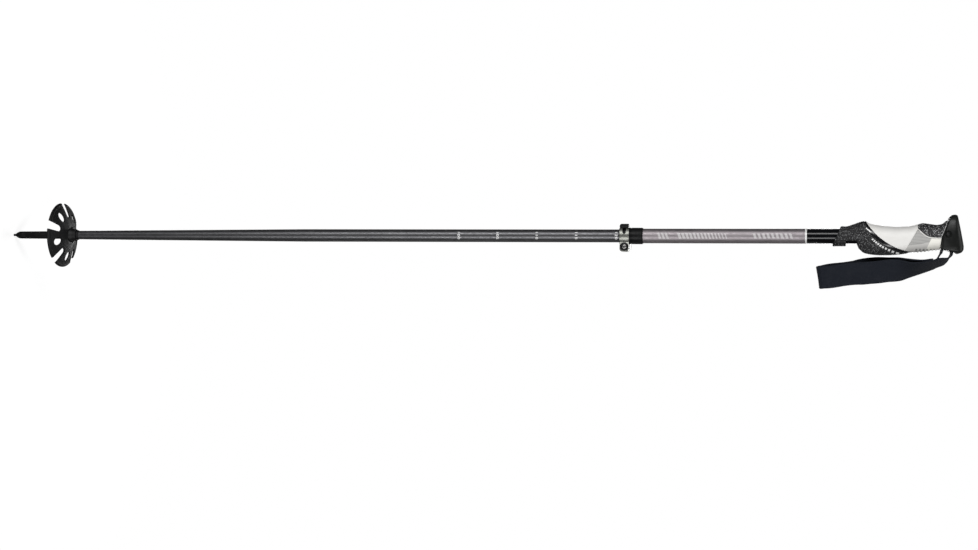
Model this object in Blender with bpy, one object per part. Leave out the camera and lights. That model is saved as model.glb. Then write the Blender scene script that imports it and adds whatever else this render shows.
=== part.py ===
"""Adjustable two-section touring ski pole, standing upright on its tip.

Frame: the origin is the centre of the carbide tip's flat end. +Z runs up the
shaft to the grip, +X points to the side that the wrist strap hangs on, and the
head of the clamp's tension screw looks along -Y.
Numbers are millimetres; make_object turns them into Blender's metres.
"""
import math

import bmesh
import bpy
from mathutils import Matrix, Vector

MM = 0.001
GAP = 0.3                    # clearance left between neighbouring pieces
ROUND = 32                   # segments round a turned piece

# Tip, ferrule and basket
TIP_R = 1.5
TIP_TOP = 15.0
FERRULE_NOSE = 4.2
FERRULE_R_LOW = 4.7
FERRULE_R_HIGH = 5.15
FERRULE_FLUTES = 8
FLUTE_DEPTH = 0.45
FERRULE_FLANGE = (91.5, 94.0)
SPIGOT_TOP = 118.0
BASKET_R = 42.5
BASKET_DOME = 13.5           # height of the dome from its rim to its middle
BASKET_TOP = 84.5            # where the dome would reach the axis
BASKET_SKIN = 2.2
BASKET_BORE_R = 5.5
BASKET_ARMS = 5

# Tubes
LOWER_R = 8.0
LOWER_R_TIP = 5.65
LOWER_WALL = 1.0
LOWER_START = 94.3
LOWER_TAPER_END = 409.0
LOWER_TOP = 967.0
UPPER_R = 9.0
UPPER_WALL = 0.75
UPPER_START = 834.9
UPPER_TOP = 1196.5

# Clamp
SLEEVE_R = 10.2
SLEEVE_SPAN = (816.9, 846.4)
CLAMP_Z = 823.7              # middle height of the band, and the screw's axis
CLAMP_HEIGHT = 11.4
BAND_IN_R = SLEEVE_R + GAP
BAND_OUT_R = 12.3
EAR_END_X = 19.6
EAR_GAP = 2.2                # from the middle plane to each ear's inner face
EAR_FRONT_Y = -9.5
EAR_BACK_Y = 8.0
SCREW_X = 13.4
SCREW_R = 1.75
SCREW_HEAD_R = 3.0
SCREW_SEAT_Y = -6.0
SCREW_END_Y = 17.6
WASHER_THICK = 0.8
PIN_R = 3.2
EYE_R = 5.4
PIN_Y = EAR_BACK_Y + GAP + WASHER_THICK + GAP + EYE_R
LEVER_R = 13.9               # middle of the lever's arm, round the shaft's axis
LEVER_THICK = 2.4
LEVER_END_DEG = 222.0

# Grip
GRIP_BORE_R = UPPER_R + GAP
GRIP_LOW = 1070.0
GRIP_HIGH = 1214.0
GRIP_FRONT = (
    (1070.0, -12.0), (1091.0, -11.8), (1099.0, -14.0), (1109.6, -17.6), (1114.0, -18.3),
    (1117.5, -16.2), (1122.0, -14.4), (1131.0, -13.1), (1141.5, -11.8), (1153.0, -11.3),
    (1164.0, -12.0), (1174.5, -14.1), (1181.0, -15.7), (1190.0, -14.5), (1197.0, -13.7),
    (1203.0, -14.8), (1208.5, -18.8), (1214.0, -21.0))
GRIP_BACK = (
    (1070.0, 11.9), (1091.0, 11.9), (1098.0, 12.4), (1104.0, 14.4), (1107.0, 16.4),
    (1110.3, 18.7), (1115.0, 20.7), (1123.0, 22.1), (1131.0, 22.7), (1140.0, 22.6),
    (1151.0, 22.0), (1160.0, 20.8), (1169.0, 19.4), (1184.0, 18.0), (1190.0, 17.0),
    (1197.0, 16.3), (1203.0, 16.1), (1214.0, 16.6))
GRIP_HALF_WIDTH = (
    (1070.0, 12.0), (1091.0, 12.0), (1099.0, 13.0), (1110.0, 14.6), (1120.0, 15.4),
    (1140.0, 15.6), (1165.0, 15.4), (1185.0, 15.2), (1200.0, 15.4), (1214.0, 15.8))
GRIP_MIDDLE = (
    (1070.0, 0.0), (1091.0, 0.0), (1115.0, 2.0), (1135.0, 4.5), (1155.0, 4.5),
    (1184.0, 2.0), (1203.0, 0.0), (1214.0, -1.0))
COLLAR_TILT = 0.395          # rise of the collar's slanted end per unit of -X
COLLAR_END = 1080.3          # its height on the axis
SWOOSH = (                   # middle line of the accent: x, z, width
    (-30.0, 1110.5, 1.0), (-18.5, 1113.9, 1.2), (-10.6, 1117.6, 2.6), (-2.5, 1122.9, 4.4),
    (5.0, 1130.9, 4.4), (13.2, 1144.1, 3.2), (18.0, 1157.4, 2.2), (20.0, 1169.2, 1.8),
    (20.8, 1180.0, 1.8))
PALM_TIP = (17.4, 1160.3)    # where the palm, the panel and the accent meet
PALM_CORNER = (-9.0, 1174.9)  # where the palm, the panel and the thumb pad meet
THUMB_EDGE = ((-4.6, 1179.6), (-1.8, 1182.5), (0.6, 1187.0), (1.6, 1193.0), (2.0, 1201.8))
CAP_SEAM = ((2.0, 1201.8), (-19.5, 1209.7), (-40.0, 1217.4))
CAP_SEAM_BACK = (30.0, 1199.0)
NOTCH = (                    # opening at the back that bares the shaft
    (5.5, 1091.2), (30.0, 1091.2), (30.0, 1114.0), (18.9, 1110.2), (15.4, 1106.8),
    (8.4, 1104.0), (5.5, 1103.4))

# Cap: x, underside, top and half width
CAP = (
    (-25.9, 1216.6, 1219.0, 4.0), (-25.1, 1213.8, 1220.8, 7.5), (-22.6, 1211.4, 1221.6, 11.0),
    (-19.0, 1209.9, 1222.3, 13.4), (-13.0, 1207.7, 1223.5, 15.4), (-6.5, 1205.4, 1224.8, 16.5),
    (2.0, 1202.2, 1226.4, 17.0), (8.0, 1201.6, 1227.5, 17.0), (12.5, 1201.2, 1228.1, 16.9),
    (15.2, 1200.9, 1228.0, 16.6), (15.9, 1203.6, 1227.8, 16.5), (16.9, 1208.4, 1227.3, 16.2),
    (18.2, 1213.0, 1226.5, 15.4), (19.7, 1216.2, 1224.8, 13.4), (20.7, 1218.2, 1221.8, 9.5))

# Strap: the webbing goes round a cross pin in the cap
WEB_WIDTH = 27.0
WEB_THICK = 1.8
STRAP_PIN = (-2.5, 1209.2)
STRAP_PIN_R = 2.0
WRAP_R = STRAP_PIN_R + GAP + WEB_THICK / 2
STRAP_HINGE = (33.0, 1194.5)
ANCHOR_LOW = ((17.0, 1202.9), (23.0, 1200.2), (29.4, 1196.7))
ANCHOR_HIGH = ((18.6, 1214.2), (23.0, 1213.2), (27.6, 1209.6), (30.6, 1204.6), (32.2, 1198.8))
WEDGE = ((2.2, 1206.9), (2.2, 1211.0), (17.0, 1212.3), (16.4, 1204.5))
LOOP_MIDDLE = (              # z, x of the line midway between the two strands
    (1062.0, 49.6), (1084.0, 46.3), (1104.0, 43.6), (1120.0, 41.4), (1136.0, 40.2),
    (1150.0, 39.6), (1165.0, 38.0), (1180.0, 36.2), (1194.5, 33.0))
LOOP_TWIST = ((1062.0, 90.0), (1140.0, 90.0), (1152.0, 78.0), (1166.0, 45.0), (1180.0, 24.0), (1194.5, 0.0))
LOOP_GAP = (                 # z, distance between the middles of the two strands
    (1062.0, 11.0), (1080.0, 16.0), (1105.0, 18.0), (1140.0, 13.0), (1170.0, 6.5), (1194.5, 4.4))


def clear_scene():
    for thing in list(bpy.data.objects):
        bpy.data.objects.remove(thing)


def plain_material(name, colour, roughness, metallic=0.0):
    result = bpy.data.materials.new(name)
    result.use_nodes = True
    shader = result.node_tree.nodes["Principled BSDF"]
    shader.inputs["Base Color"].default_value = (*colour, 1.0)
    shader.inputs["Roughness"].default_value = roughness
    shader.inputs["Metallic"].default_value = metallic
    return result


def make_object(name, bm):
    """Scale a bmesh in millimetres to metres and link it as an object."""
    bmesh.ops.scale(bm, vec=(MM, MM, MM), verts=bm.verts)
    bmesh.ops.recalc_face_normals(bm, faces=bm.faces)
    mesh = bpy.data.meshes.new(name)
    bm.to_mesh(mesh)
    bm.free()
    thing = bpy.data.objects.new(name, mesh)
    bpy.context.scene.collection.objects.link(thing)
    return thing


def bridge(bm, low, high):
    """Join two rings of vertices with quads."""
    count = len(low)
    for i in range(count):
        j = (i + 1) % count
        bm.faces.new((low[i], low[j], high[j], high[i]))


def loft(name, rings, closed=False):
    """A solid through rings of points; open ends get flat caps."""
    bm = bmesh.new()
    loops = [[bm.verts.new(point) for point in ring] for ring in rings]
    for low, high in zip(loops, loops[1:]):
        bridge(bm, low, high)
    if closed:
        bridge(bm, loops[-1], loops[0])
    else:
        bm.faces.new(loops[0])
        bm.faces.new(reversed(loops[-1]))
    return make_object(name, bm)


def circle(radius, z, segments=ROUND):
    step = 2 * math.pi / segments
    return [(radius * math.cos(i * step), radius * math.sin(i * step), z) for i in range(segments)]


def turned(name, profile, segments=ROUND, tube=False):
    """Turn an (r, z) profile about Z; a tube's profile is a closed outline."""
    return loft(name, [circle(radius, z, segments) for radius, z in profile], closed=tube)


def prism(name, outline, axis, low, high):
    """Extrude a flat outline along Y (outline in x, z) or along Z (outline in x, y)."""
    if axis == "Y":
        rings = [[(x, depth, z) for x, z in outline] for depth in (low, high)]
    else:
        rings = [[(x, y, depth) for x, y in outline] for depth in (low, high)]
    return loft(name, rings)


def boolean(target, cutter, operation="DIFFERENCE"):
    """Apply an exact Boolean and remove the cutter."""
    modifier = target.modifiers.new("cut", "BOOLEAN")
    modifier.operation = operation
    modifier.solver = "EXACT"
    modifier.object = cutter
    graph = bpy.context.evaluated_depsgraph_get()
    result = bpy.data.meshes.new_from_object(target.evaluated_get(graph), depsgraph=graph)
    target.modifiers.clear()
    target.data = result
    bpy.data.objects.remove(cutter)
    return target


def set_origin(thing, x, y, z):
    """Move an object's origin to a point, leaving its shape where it is."""
    point = Vector((x, y, z)) * MM
    thing.data.transform(Matrix.Translation(-point))
    thing.location = point
    return thing


def turn_to_y(thing, x, z):
    """Lay a piece turned about Z along +Y, on the axis through x and z."""
    thing.data.transform(Matrix.Rotation(-math.pi / 2, 4, "X"))
    thing.data.transform(Matrix.Translation(Vector((x, 0.0, z)) * MM))
    return thing


def along_y(name, radius, x, z, low, high, segments=24):
    """A cylinder along Y between two depths."""
    return turn_to_y(turned(name, ((radius, low), (radius, high)), segments), x, z)


def interpolate(table, at):
    """Read a table of (position, value) with a smooth curve that never overshoots."""
    points = sorted(table)
    slopes = [(b[1] - a[1]) / (b[0] - a[0]) for a, b in zip(points, points[1:])]
    tangents = [slopes[0]]
    for before, after in zip(slopes, slopes[1:]):
        same_way = before * after > 0
        tangents.append(2 * before * after / (before + after) if same_way else 0.0)
    tangents.append(slopes[-1])
    at = min(max(at, points[0][0]), points[-1][0])
    last = len(points) - 2
    index = next((i for i in range(last + 1) if at <= points[i + 1][0]), last)
    (start, low), (end, high) = points[index], points[index + 1]
    span = end - start
    t = (at - start) / span
    rise = tangents[index] * span
    fall = tangents[index + 1] * span
    return (low * (1 + 2 * t) * (1 - t) ** 2 + high * t * t * (3 - 2 * t)
            + rise * t * (1 - t) ** 2 - fall * t * t * (1 - t))


def arc(centre, radius, start_deg, end_deg, steps):
    """Points of an arc in a plane, both ends included."""
    angles = [math.radians(start_deg + (end_deg - start_deg) * i / steps) for i in range(steps + 1)]
    return [(centre[0] + radius * math.cos(a), centre[1] + radius * math.sin(a)) for a in angles]


def rounded_box(low, high, radius, steps=5):
    """Outline of a rectangle with round corners."""
    (x0, y0), (x1, y1) = low, high
    corners = ((x1, y1, 0), (x0, y1, 90), (x0, y0, 180), (x1, y0, 270))
    outline = []
    for x, y, start in corners:
        centre_x = x - radius if x == x1 else x + radius
        centre_y = y - radius if y == y1 else y + radius
        outline += arc((centre_x, centre_y), radius, start, start + 90, steps)
    return outline


def carbide_tip():
    return turned("carbide_tip", ((1.1, 0.0), (TIP_R, 0.6), (TIP_R, TIP_TOP)), 24)


def tip_ferrule():
    """Fluted ferrule with a blind hole for the tip and a spigot for the shaft."""
    hole = TIP_R + GAP
    flange_low, flange_high = FERRULE_FLANGE
    spigot = LOWER_R_TIP - LOWER_WALL - GAP
    profile = (
        (hole, TIP_TOP + GAP, 0), (hole, FERRULE_NOSE, 0), (2.7, FERRULE_NOSE, 0), (FERRULE_R_LOW, 8.4, 0),
        (FERRULE_R_LOW, 11.0, 0), (4.8, 15.0, 1), (5.0, 40.0, 1), (5.1, 62.0, 1), (FERRULE_R_HIGH, 66.0, 0),
        (FERRULE_R_HIGH, flange_low, 0), (6.4, flange_low, 0), (6.4, flange_high - 0.6, 0),
        (5.8, flange_high, 0), (spigot, flange_high, 0), (spigot, SPIGOT_TOP, 0))
    step = 2 * math.pi / ROUND
    rings = []
    for radius, z, fluted in profile:
        ring = []
        for i in range(ROUND):
            groove = fluted * FLUTE_DEPTH * (0.5 - 0.5 * math.cos(FERRULE_FLUTES * i * step))
            reach = radius - groove
            ring.append((reach * math.cos(i * step), reach * math.sin(i * step), z))
        rings.append(ring)
    return loft("tip_ferrule", rings)


def basket_surface(radius):
    """Height of the basket's upper side at a radius."""
    return BASKET_TOP - BASKET_DOME * (radius / BASKET_R) ** 1.7


def basket():
    """Domed disc with a hub, five slots open to the rim and five holes."""
    radii = (11.0, 18.0, 26.0, 34.0, 42.0)
    upper = [(radius, basket_surface(radius)) for radius in radii]
    lower = [(radius, z - BASKET_SKIN) for radius, z in reversed(upper)]
    rim = basket_surface(BASKET_R)
    hub = [(BASKET_BORE_R, 91.2), (7.5, 91.2), (8.0, 90.5), (8.2, 86.2), (9.2, 84.6)]
    skirt = [(8.6, 80.4), (8.4, 76.5), (BASKET_BORE_R, 76.5)]
    edge = [(BASKET_R, rim - 0.7), (BASKET_R, rim - BASKET_SKIN + 0.5)]
    disc = turned("basket", hub + upper + edge + lower + skirt, 48, tube=True)
    for arm in range(BASKET_ARMS):
        turn = math.radians(180 + arm * 360 / BASKET_ARMS)
        slot = [(60.0, -7.6), (60.0, 7.6)] + arc((27.2, 0.0), 4.3, 90, 270, 6)
        boolean(disc, turned_outline("slot", slot, turn))
        hole = [(28.4 + 6.4 * x, 5.0 * y) for x, y in arc((0.0, 0.0), 1.0, 0, 330, 11)]
        boolean(disc, turned_outline("hole", hole, turn + math.pi / BASKET_ARMS))
    return disc


def turned_outline(name, outline, turn):
    """A vertical prism through the basket, with its outline turned about the axis."""
    spun = [(x * math.cos(turn) - y * math.sin(turn), x * math.sin(turn) + y * math.cos(turn)) for x, y in outline]
    return prism(name, spun, "Z", 40.0, 100.0)


def lower_shaft():
    """Tube that tapers to the tip over its lower third."""
    outer = [(LOWER_R_TIP, LOWER_START), (LOWER_R, LOWER_TAPER_END), (LOWER_R, LOWER_TOP)]
    inner = [(radius - LOWER_WALL, z) for radius, z in reversed(outer)]
    return turned("lower_shaft", outer + inner, tube=True)


def lower_plug():
    """Plug in the lower tube; the guide bush turns on its spindle."""
    stem = LOWER_R - LOWER_WALL - GAP
    base = LOWER_TOP + GAP
    profile = (
        (stem, LOWER_TOP - 18.0), (stem, base), (7.7, base), (7.7, base + 2.0), (4.6, base + 2.0),
        (4.6, base + 13.5), (6.2, base + 13.5), (5.8, base + 15.5))
    return turned("lower_plug", profile, 24)


def guide_bush():
    low = LOWER_TOP + GAP + 2.0 + GAP
    high = LOWER_TOP + GAP + 13.5 - GAP
    outer = UPPER_R - UPPER_WALL - 0.1
    profile = ((outer, low + 0.8), (outer, high - 0.8), (outer - 0.6, high), (4.9, high), (4.9, low),
               (outer - 0.6, low))
    return turned("guide_bush", profile, 24, tube=True)


def upper_shaft():
    inner = UPPER_R - UPPER_WALL
    profile = ((UPPER_R, UPPER_START), (UPPER_R, UPPER_TOP), (inner, UPPER_TOP), (inner, UPPER_START))
    return turned("upper_shaft", profile, tube=True)


def upper_plug():
    stem = UPPER_R - UPPER_WALL - GAP
    seat = UPPER_TOP + GAP
    profile = ((stem, UPPER_TOP - 8.0), (stem, seat), (UPPER_R - 0.1, seat), (UPPER_R - 0.1, seat + 2.0))
    return turned("upper_plug", profile, 24)


def clamp_sleeve():
    """Sleeve with a step for the upper tube and a slit so that it can close."""
    low, high = SLEEVE_SPAN
    profile = (
        (SLEEVE_R, low + 0.5), (SLEEVE_R, high - 1.2), (SLEEVE_R - 0.8, high), (UPPER_R + GAP, high),
        (UPPER_R + GAP, UPPER_START - GAP), (LOWER_R + GAP, UPPER_START - GAP), (LOWER_R + GAP, low),
        (SLEEVE_R - 0.5, low))
    sleeve = turned("clamp_sleeve", profile, tube=True)
    slit = [(7.0, -1.0), (14.0, -1.0), (14.0, 1.0), (7.0, 1.0)]
    return boolean(sleeve, prism("slit", slit, "Z", low - 5.0, 833.0))


def clamp_band():
    """C-shaped band with two ears, a screw hole and a slot under the lever's tip."""
    front = math.degrees(math.asin(EAR_FRONT_Y / BAND_OUT_R)) + 360
    back = math.degrees(math.asin(EAR_BACK_Y / BAND_OUT_R))
    mouth = math.degrees(math.asin(EAR_GAP / BAND_IN_R))
    outline = [(EAR_END_X, EAR_GAP), (EAR_END_X, EAR_BACK_Y)]
    outline += arc((0.0, 0.0), BAND_OUT_R, back, front, 30)
    outline += [(EAR_END_X, EAR_FRONT_Y), (EAR_END_X, -EAR_GAP)]
    outline += arc((0.0, 0.0), BAND_IN_R, 360 - mouth, mouth, 30)
    half = CLAMP_HEIGHT / 2
    band = prism("clamp_band", outline, "Z", CLAMP_Z - half, CLAMP_Z + half)
    side = rounded_box((-20.0, CLAMP_Z - half - 0.001), (EAR_END_X + 0.001, CLAMP_Z + half + 0.001), 3.6)
    boolean(band, prism("ends", side, "Y", -20.0, 20.0), "INTERSECT")
    slot = [(-20.0, CLAMP_Z + 2.1), (-20.0, CLAMP_Z - 2.1)] + arc((-4.3, CLAMP_Z), 2.1, -90, 90, 8)
    boolean(band, prism("slot", slot, "Y", -20.0, -3.0))
    boolean(band, along_y("screw_hole", SCREW_R + GAP, SCREW_X, CLAMP_Z, -20.0, 20.0))
    boolean(band, along_y("counterbore", SCREW_HEAD_R + 0.5, SCREW_X, CLAMP_Z, -20.0, SCREW_SEAT_Y))
    return band


def cam_washer():
    low = EAR_BACK_Y + GAP
    outline = rounded_box((SCREW_X - 3.8, CLAMP_Z - 4.2), (SCREW_X + 4.8, CLAMP_Z + 4.2), 1.5, 3)
    plate = prism("cam_washer", outline, "Y", low, low + WASHER_THICK)
    return boolean(plate, along_y("hole", SCREW_R + GAP, SCREW_X, CLAMP_Z, -20.0, 20.0))


def tension_screw():
    """Domed cap screw with a socket; its head looks along -Y."""
    seat = SCREW_SEAT_Y - GAP
    profile = (
        (1.2, seat - 1.3), (1.2, seat - 2.6), (2.3, seat - 2.6), (SCREW_HEAD_R, seat - 1.9),
        (SCREW_HEAD_R, seat), (SCREW_R, seat), (SCREW_R, SCREW_END_Y))
    screw = turn_to_y(turned("tension_screw", profile, 18), SCREW_X, CLAMP_Z)
    return set_origin(screw, SCREW_X, 0.0, CLAMP_Z)


def lever_pin():
    """Barrel nut: the lever's pivot, with a cross hole for the screw."""
    half = CLAMP_HEIGHT / 2 - 0.4
    outline = arc((SCREW_X, PIN_Y), PIN_R, 0, 345, 23)
    pin = prism("lever_pin", outline, "Z", CLAMP_Z - half, CLAMP_Z + half)
    boolean(pin, along_y("thread", SCREW_R + GAP, SCREW_X, CLAMP_Z, 5.0, 25.0))
    return set_origin(pin, SCREW_X, PIN_Y, CLAMP_Z)


def lever_outline():
    """The arm curls round the shaft from the pivot's eye to the finger tip."""
    start_r = math.hypot(SCREW_X, PIN_Y)
    start = math.degrees(math.atan2(PIN_Y, SCREW_X))
    steps = 30
    inner = []
    outer = []
    for i in range(steps + 1):
        angle = start + (LEVER_END_DEG - start) * i / steps
        t = min((angle - start) / 48.0, 1.0)
        middle = start_r + (LEVER_R - start_r) * t * t * (3 - 2 * t)
        flare = max(0.0, (angle - 196.0) / 26.0) * 0.9
        for edge, side, extra in ((inner, -1, 0.0), (outer, 1, flare)):
            reach = middle + side * LEVER_THICK / 2 + extra
            turn = math.radians(angle)
            edge.append((reach * math.cos(turn), reach * math.sin(turn)))
    return outer + list(reversed(inner))


def clamp_lever():
    half = CLAMP_HEIGHT / 2 - 0.2
    span = (CLAMP_Z - half, CLAMP_Z + half)
    lever = prism("clamp_lever", lever_outline(), "Z", *span)
    eye = prism("eye", arc((SCREW_X, PIN_Y), EYE_R, 0, 348, 29), "Z", *span)
    boolean(lever, eye, "UNION")
    side = rounded_box((-16.2, span[0] - 0.001), (18.9, span[1] + 0.001), 3.5)
    boolean(lever, prism("ends", side, "Y", -30.0, 30.0), "INTERSECT")
    boolean(lever, prism("fork", arc((SCREW_X, PIN_Y), 7.4, 0, 348, 29), "Z", CLAMP_Z - 2.5, CLAMP_Z + 2.5))
    boolean(lever, prism("bore", arc((SCREW_X, PIN_Y), PIN_R + GAP, 0, 345, 23), "Z", 800.0, 850.0))
    return set_origin(lever, SCREW_X, PIN_Y, CLAMP_Z)


def grip_section(z, segments=36):
    """Egg-shaped section of the grip: one superellipse half to the front, one to the back."""
    front = interpolate(GRIP_FRONT, z)
    back = interpolate(GRIP_BACK, z)
    half_width = interpolate(GRIP_HALF_WIDTH, z)
    middle = interpolate(GRIP_MIDDLE, z)
    power = 2 / 2.25
    ring = []
    for i in range(segments):
        angle = 2 * math.pi * i / segments
        along = math.cos(angle)
        across = math.sin(angle)
        reach = (back - middle) if along > 0 else (middle - front)
        x = middle + math.copysign(reach * abs(along) ** power, along)
        y = math.copysign(half_width * abs(across) ** power, across)
        ring.append((x, y, z))
    return ring


def grip_blank(name, low, high, step=5.5):
    """The whole grip's outer form between two heights, closed at both ends."""
    count = max(2, round((high - low) / step))
    heights = [low + (high - low) * i / count for i in range(count + 1)]
    return loft(name, [grip_section(z) for z in heights])


def swoosh_edge(side):
    """One edge of the accent: -1 towards the textured body, 1 towards the palm."""
    steps = 18
    start, end = SWOOSH[0][0], SWOOSH[-1][0]
    heights = [(x, z) for x, z, _ in SWOOSH]
    widths = [(x, width) for x, _, width in SWOOSH]
    edge = []
    for i in range(steps + 1):
        x = start + (end - start) * (i / steps) ** 0.7
        slope = (interpolate(heights, x + 0.05) - interpolate(heights, x - 0.05)) / 0.1
        length = math.hypot(1.0, slope)
        offset = side * interpolate(widths, x) / 2
        edge.append((x - offset * slope / length, interpolate(heights, x) + offset / length))
    return edge


def inset(outline, distance):
    """Shrink a counter-clockwise outline, limiting how far a sharp corner moves."""
    count = len(outline)
    result = []
    for i in range(count):
        before = Vector(outline[i]) - Vector(outline[i - 1])
        after = Vector(outline[(i + 1) % count]) - Vector(outline[i])
        normals = [Vector((-edge.y, edge.x)).normalized() for edge in (before, after)]
        bisector = (normals[0] + normals[1]).normalized()
        stretch = min(1 / max(bisector.dot(normals[0]), 0.1), 3.0)
        result.append(tuple(Vector(outline[i]) + bisector * distance * stretch))
    return result


def grip_regions():
    """Side-view outline of each moulded part of the grip, counter-clockwise."""
    body_edge = swoosh_edge(-1)
    palm_edge = swoosh_edge(1)
    to_tip = [point for point in palm_edge if point[1] < PALM_TIP[1] - 1.5]
    from_tip = [point for point in palm_edge if point[1] > PALM_TIP[1] + 1.5]
    far_back = palm_edge[-1][1]
    return {
        "grip_body": [(-30.0, 1060.0), (30.0, 1060.0), (30.0, body_edge[-1][1])] + body_edge[::-1],
        "grip_accent": body_edge + palm_edge[::-1],
        "grip_palm": to_tip + [PALM_TIP, PALM_CORNER, (-30.0, 1174.9)],
        "grip_panel": [PALM_CORNER, PALM_TIP] + from_tip + [(30.0, far_back), CAP_SEAM_BACK]
                      + list(THUMB_EDGE[::-1]),
        "thumb_pad": [(-30.0, 1174.9), PALM_CORNER] + list(THUMB_EDGE) + list(CAP_SEAM[1:]),
    }


def grip_part(name, outline):
    """Cut one moulded part out of the grip's form and bore it for the shaft."""
    heights = [z for _, z in outline]
    low = max(GRIP_LOW, min(heights) - 4.0)
    high = min(GRIP_HIGH, max(heights) + 4.0)
    part = grip_blank(name, low, high)
    boolean(part, prism("region", inset(outline, GAP / 2), "Y", -40.0, 40.0), "INTERSECT")
    bore = turned("bore", ((GRIP_BORE_R, 1050.0), (GRIP_BORE_R, 1250.0)))
    return boolean(part, bore)


def grip_parts():
    parts = {name: grip_part(name, outline) for name, outline in grip_regions().items()}
    body = parts["grip_body"]
    rise = COLLAR_TILT * 30.0
    below = [(-30.0, 1050.0), (30.0, 1050.0), (30.0, COLLAR_END - rise), (-30.0, COLLAR_END + rise)]
    boolean(body, prism("slanted_end", below, "Y", -40.0, 40.0))
    boolean(body, prism("notch", NOTCH, "Y", -40.0, 40.0))
    return parts


def cap_section(x, low, high, half_width, segments=32):
    """Section across the cap: boxy below, rounder on top."""
    middle = low + (high - low) * 0.45
    ring = []
    for i in range(segments):
        angle = 2 * math.pi * i / segments
        across = math.cos(angle)
        up = math.sin(angle)
        power = 2 / 3.0 if up > 0 else 2 / 7.0
        reach = (high - middle) if up > 0 else (middle - low)
        y = math.copysign(half_width * abs(across) ** power, across)
        z = middle + math.copysign(reach * abs(up) ** power, up)
        ring.append((x, y, z))
    return ring


def grip_cap():
    """Head of the grip, with a pocket for the webbing, its pin and the wedge."""
    cap = loft("grip_cap", [cap_section(*station) for station in CAP])
    room = WRAP_R + WEB_THICK / 2 + GAP
    side = WEB_WIDTH / 2 + GAP
    low = (ANCHOR_LOW[0][0], ANCHOR_LOW[0][1] - WEB_THICK / 2 - GAP)
    high = (ANCHOR_HIGH[0][0], ANCHOR_HIGH[0][1] + WEB_THICK / 2 + GAP)
    pocket = arc(STRAP_PIN, room, 95, 262, 8) + [low, (30.0, low[1] - 1.0), (30.0, high[1]), high]
    boolean(cap, prism("pocket", pocket, "Y", -side, side))
    return boolean(cap, along_y("pin_hole", STRAP_PIN_R + GAP, *STRAP_PIN, -30.0, 30.0))


def strap_pin():
    return along_y("strap_pin", STRAP_PIN_R, *STRAP_PIN, -15.2, 15.2)


def strap_wedge():
    half = WEB_WIDTH / 2 - 0.4
    return prism("strap_wedge", WEDGE, "Y", -half, half)


def ribbon_outline(path, thickness):
    """Outline of a strip of even thickness along an open path."""
    left = []
    right = []
    for i, point in enumerate(path):
        before = Vector(path[max(i - 1, 0)])
        after = Vector(path[min(i + 1, len(path) - 1)])
        along = (after - before).normalized()
        side = Vector((-along.y, along.x)) * thickness / 2
        left.append(tuple(Vector(point) + side))
        right.append(tuple(Vector(point) - side))
    return left + right[::-1]


def strap_anchor():
    """The webbing from the hinge into the cap, round the pin and out again."""
    wrap = arc(STRAP_PIN, WRAP_R, 262, 95, 10)
    path = list(ANCHOR_LOW[::-1]) + wrap + list(ANCHOR_HIGH)
    return prism("strap_anchor", ribbon_outline(path, WEB_THICK), "Y", -WEB_WIDTH / 2, WEB_WIDTH / 2)


def loop_frame(z):
    """Middle point, upward direction, normal and width direction of the loop at a height."""
    point = Vector((interpolate(LOOP_MIDDLE, z), 0.0, z))
    slope = (interpolate(LOOP_MIDDLE, z + 1.0) - interpolate(LOOP_MIDDLE, z - 1.0)) / 2
    upward = Vector((slope, 0.0, 1.0)).normalized()
    twist = math.radians(interpolate(LOOP_TWIST, z))
    flat = Vector((math.sin(twist), math.cos(twist), 0.0))
    width = (flat - upward * flat.dot(upward)).normalized()
    normal = width.cross(upward)
    return point, upward, normal, width


def loop_path():
    """Middle line of the closed loop, with the width direction at each point."""
    low, high = LOOP_MIDDLE[0][0], LOOP_MIDDLE[-1][0]
    steps = 16
    heights = [high + (low - high) * i / steps for i in range(steps + 1)]
    path = []
    for side, levels in ((1, heights), (-1, heights[::-1])):
        for z in levels:
            point, _, normal, width = loop_frame(z)
            path.append((point + normal * side * interpolate(LOOP_GAP, z) / 2, width))
        path += loop_turn(levels[-1], side)
    return path


def loop_turn(z, side):
    """The half circle that joins the strands at one end of the loop."""
    point, upward, normal, width = loop_frame(z)
    radius = interpolate(LOOP_GAP, z) / 2
    turn = []
    for step in range(1, 6):
        angle = math.pi * step / 6
        out = normal * math.cos(angle) * side - upward * math.sin(angle) * side
        turn.append((point + out * radius, width))
    return turn


def strap_loop():
    """Closed band of webbing that twists a quarter turn below the hinge."""
    path = loop_path()
    count = len(path)
    rings = []
    for i, (point, width) in enumerate(path):
        along = (path[(i + 1) % count][0] - path[i - 1][0]).normalized()
        across = (width - along * width.dot(along)).normalized() * WEB_WIDTH / 2
        thick = along.cross(across).normalized() * WEB_THICK / 2
        rings.append([point + across + thick, point - across + thick, point - across - thick,
                      point + across - thick])
    loop = loft("strap_loop", rings, closed=True)
    return set_origin(loop, STRAP_HINGE[0], 0.0, STRAP_HINGE[1])


def dress(thing, surface):
    """Give a finished piece its material and smooth its round faces."""
    thing.data.materials.clear()
    thing.data.materials.append(surface)
    thing.data.shade_smooth()
    thing.data.set_sharp_from_angle(angle=math.radians(35))


def group(name, things):
    """Parent the pieces of one rigid body to an empty of its name."""
    holder = bpy.data.objects.new(name + "_group", None)
    bpy.context.scene.collection.objects.link(holder)
    for thing in things:
        thing.parent = holder
    return holder


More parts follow.
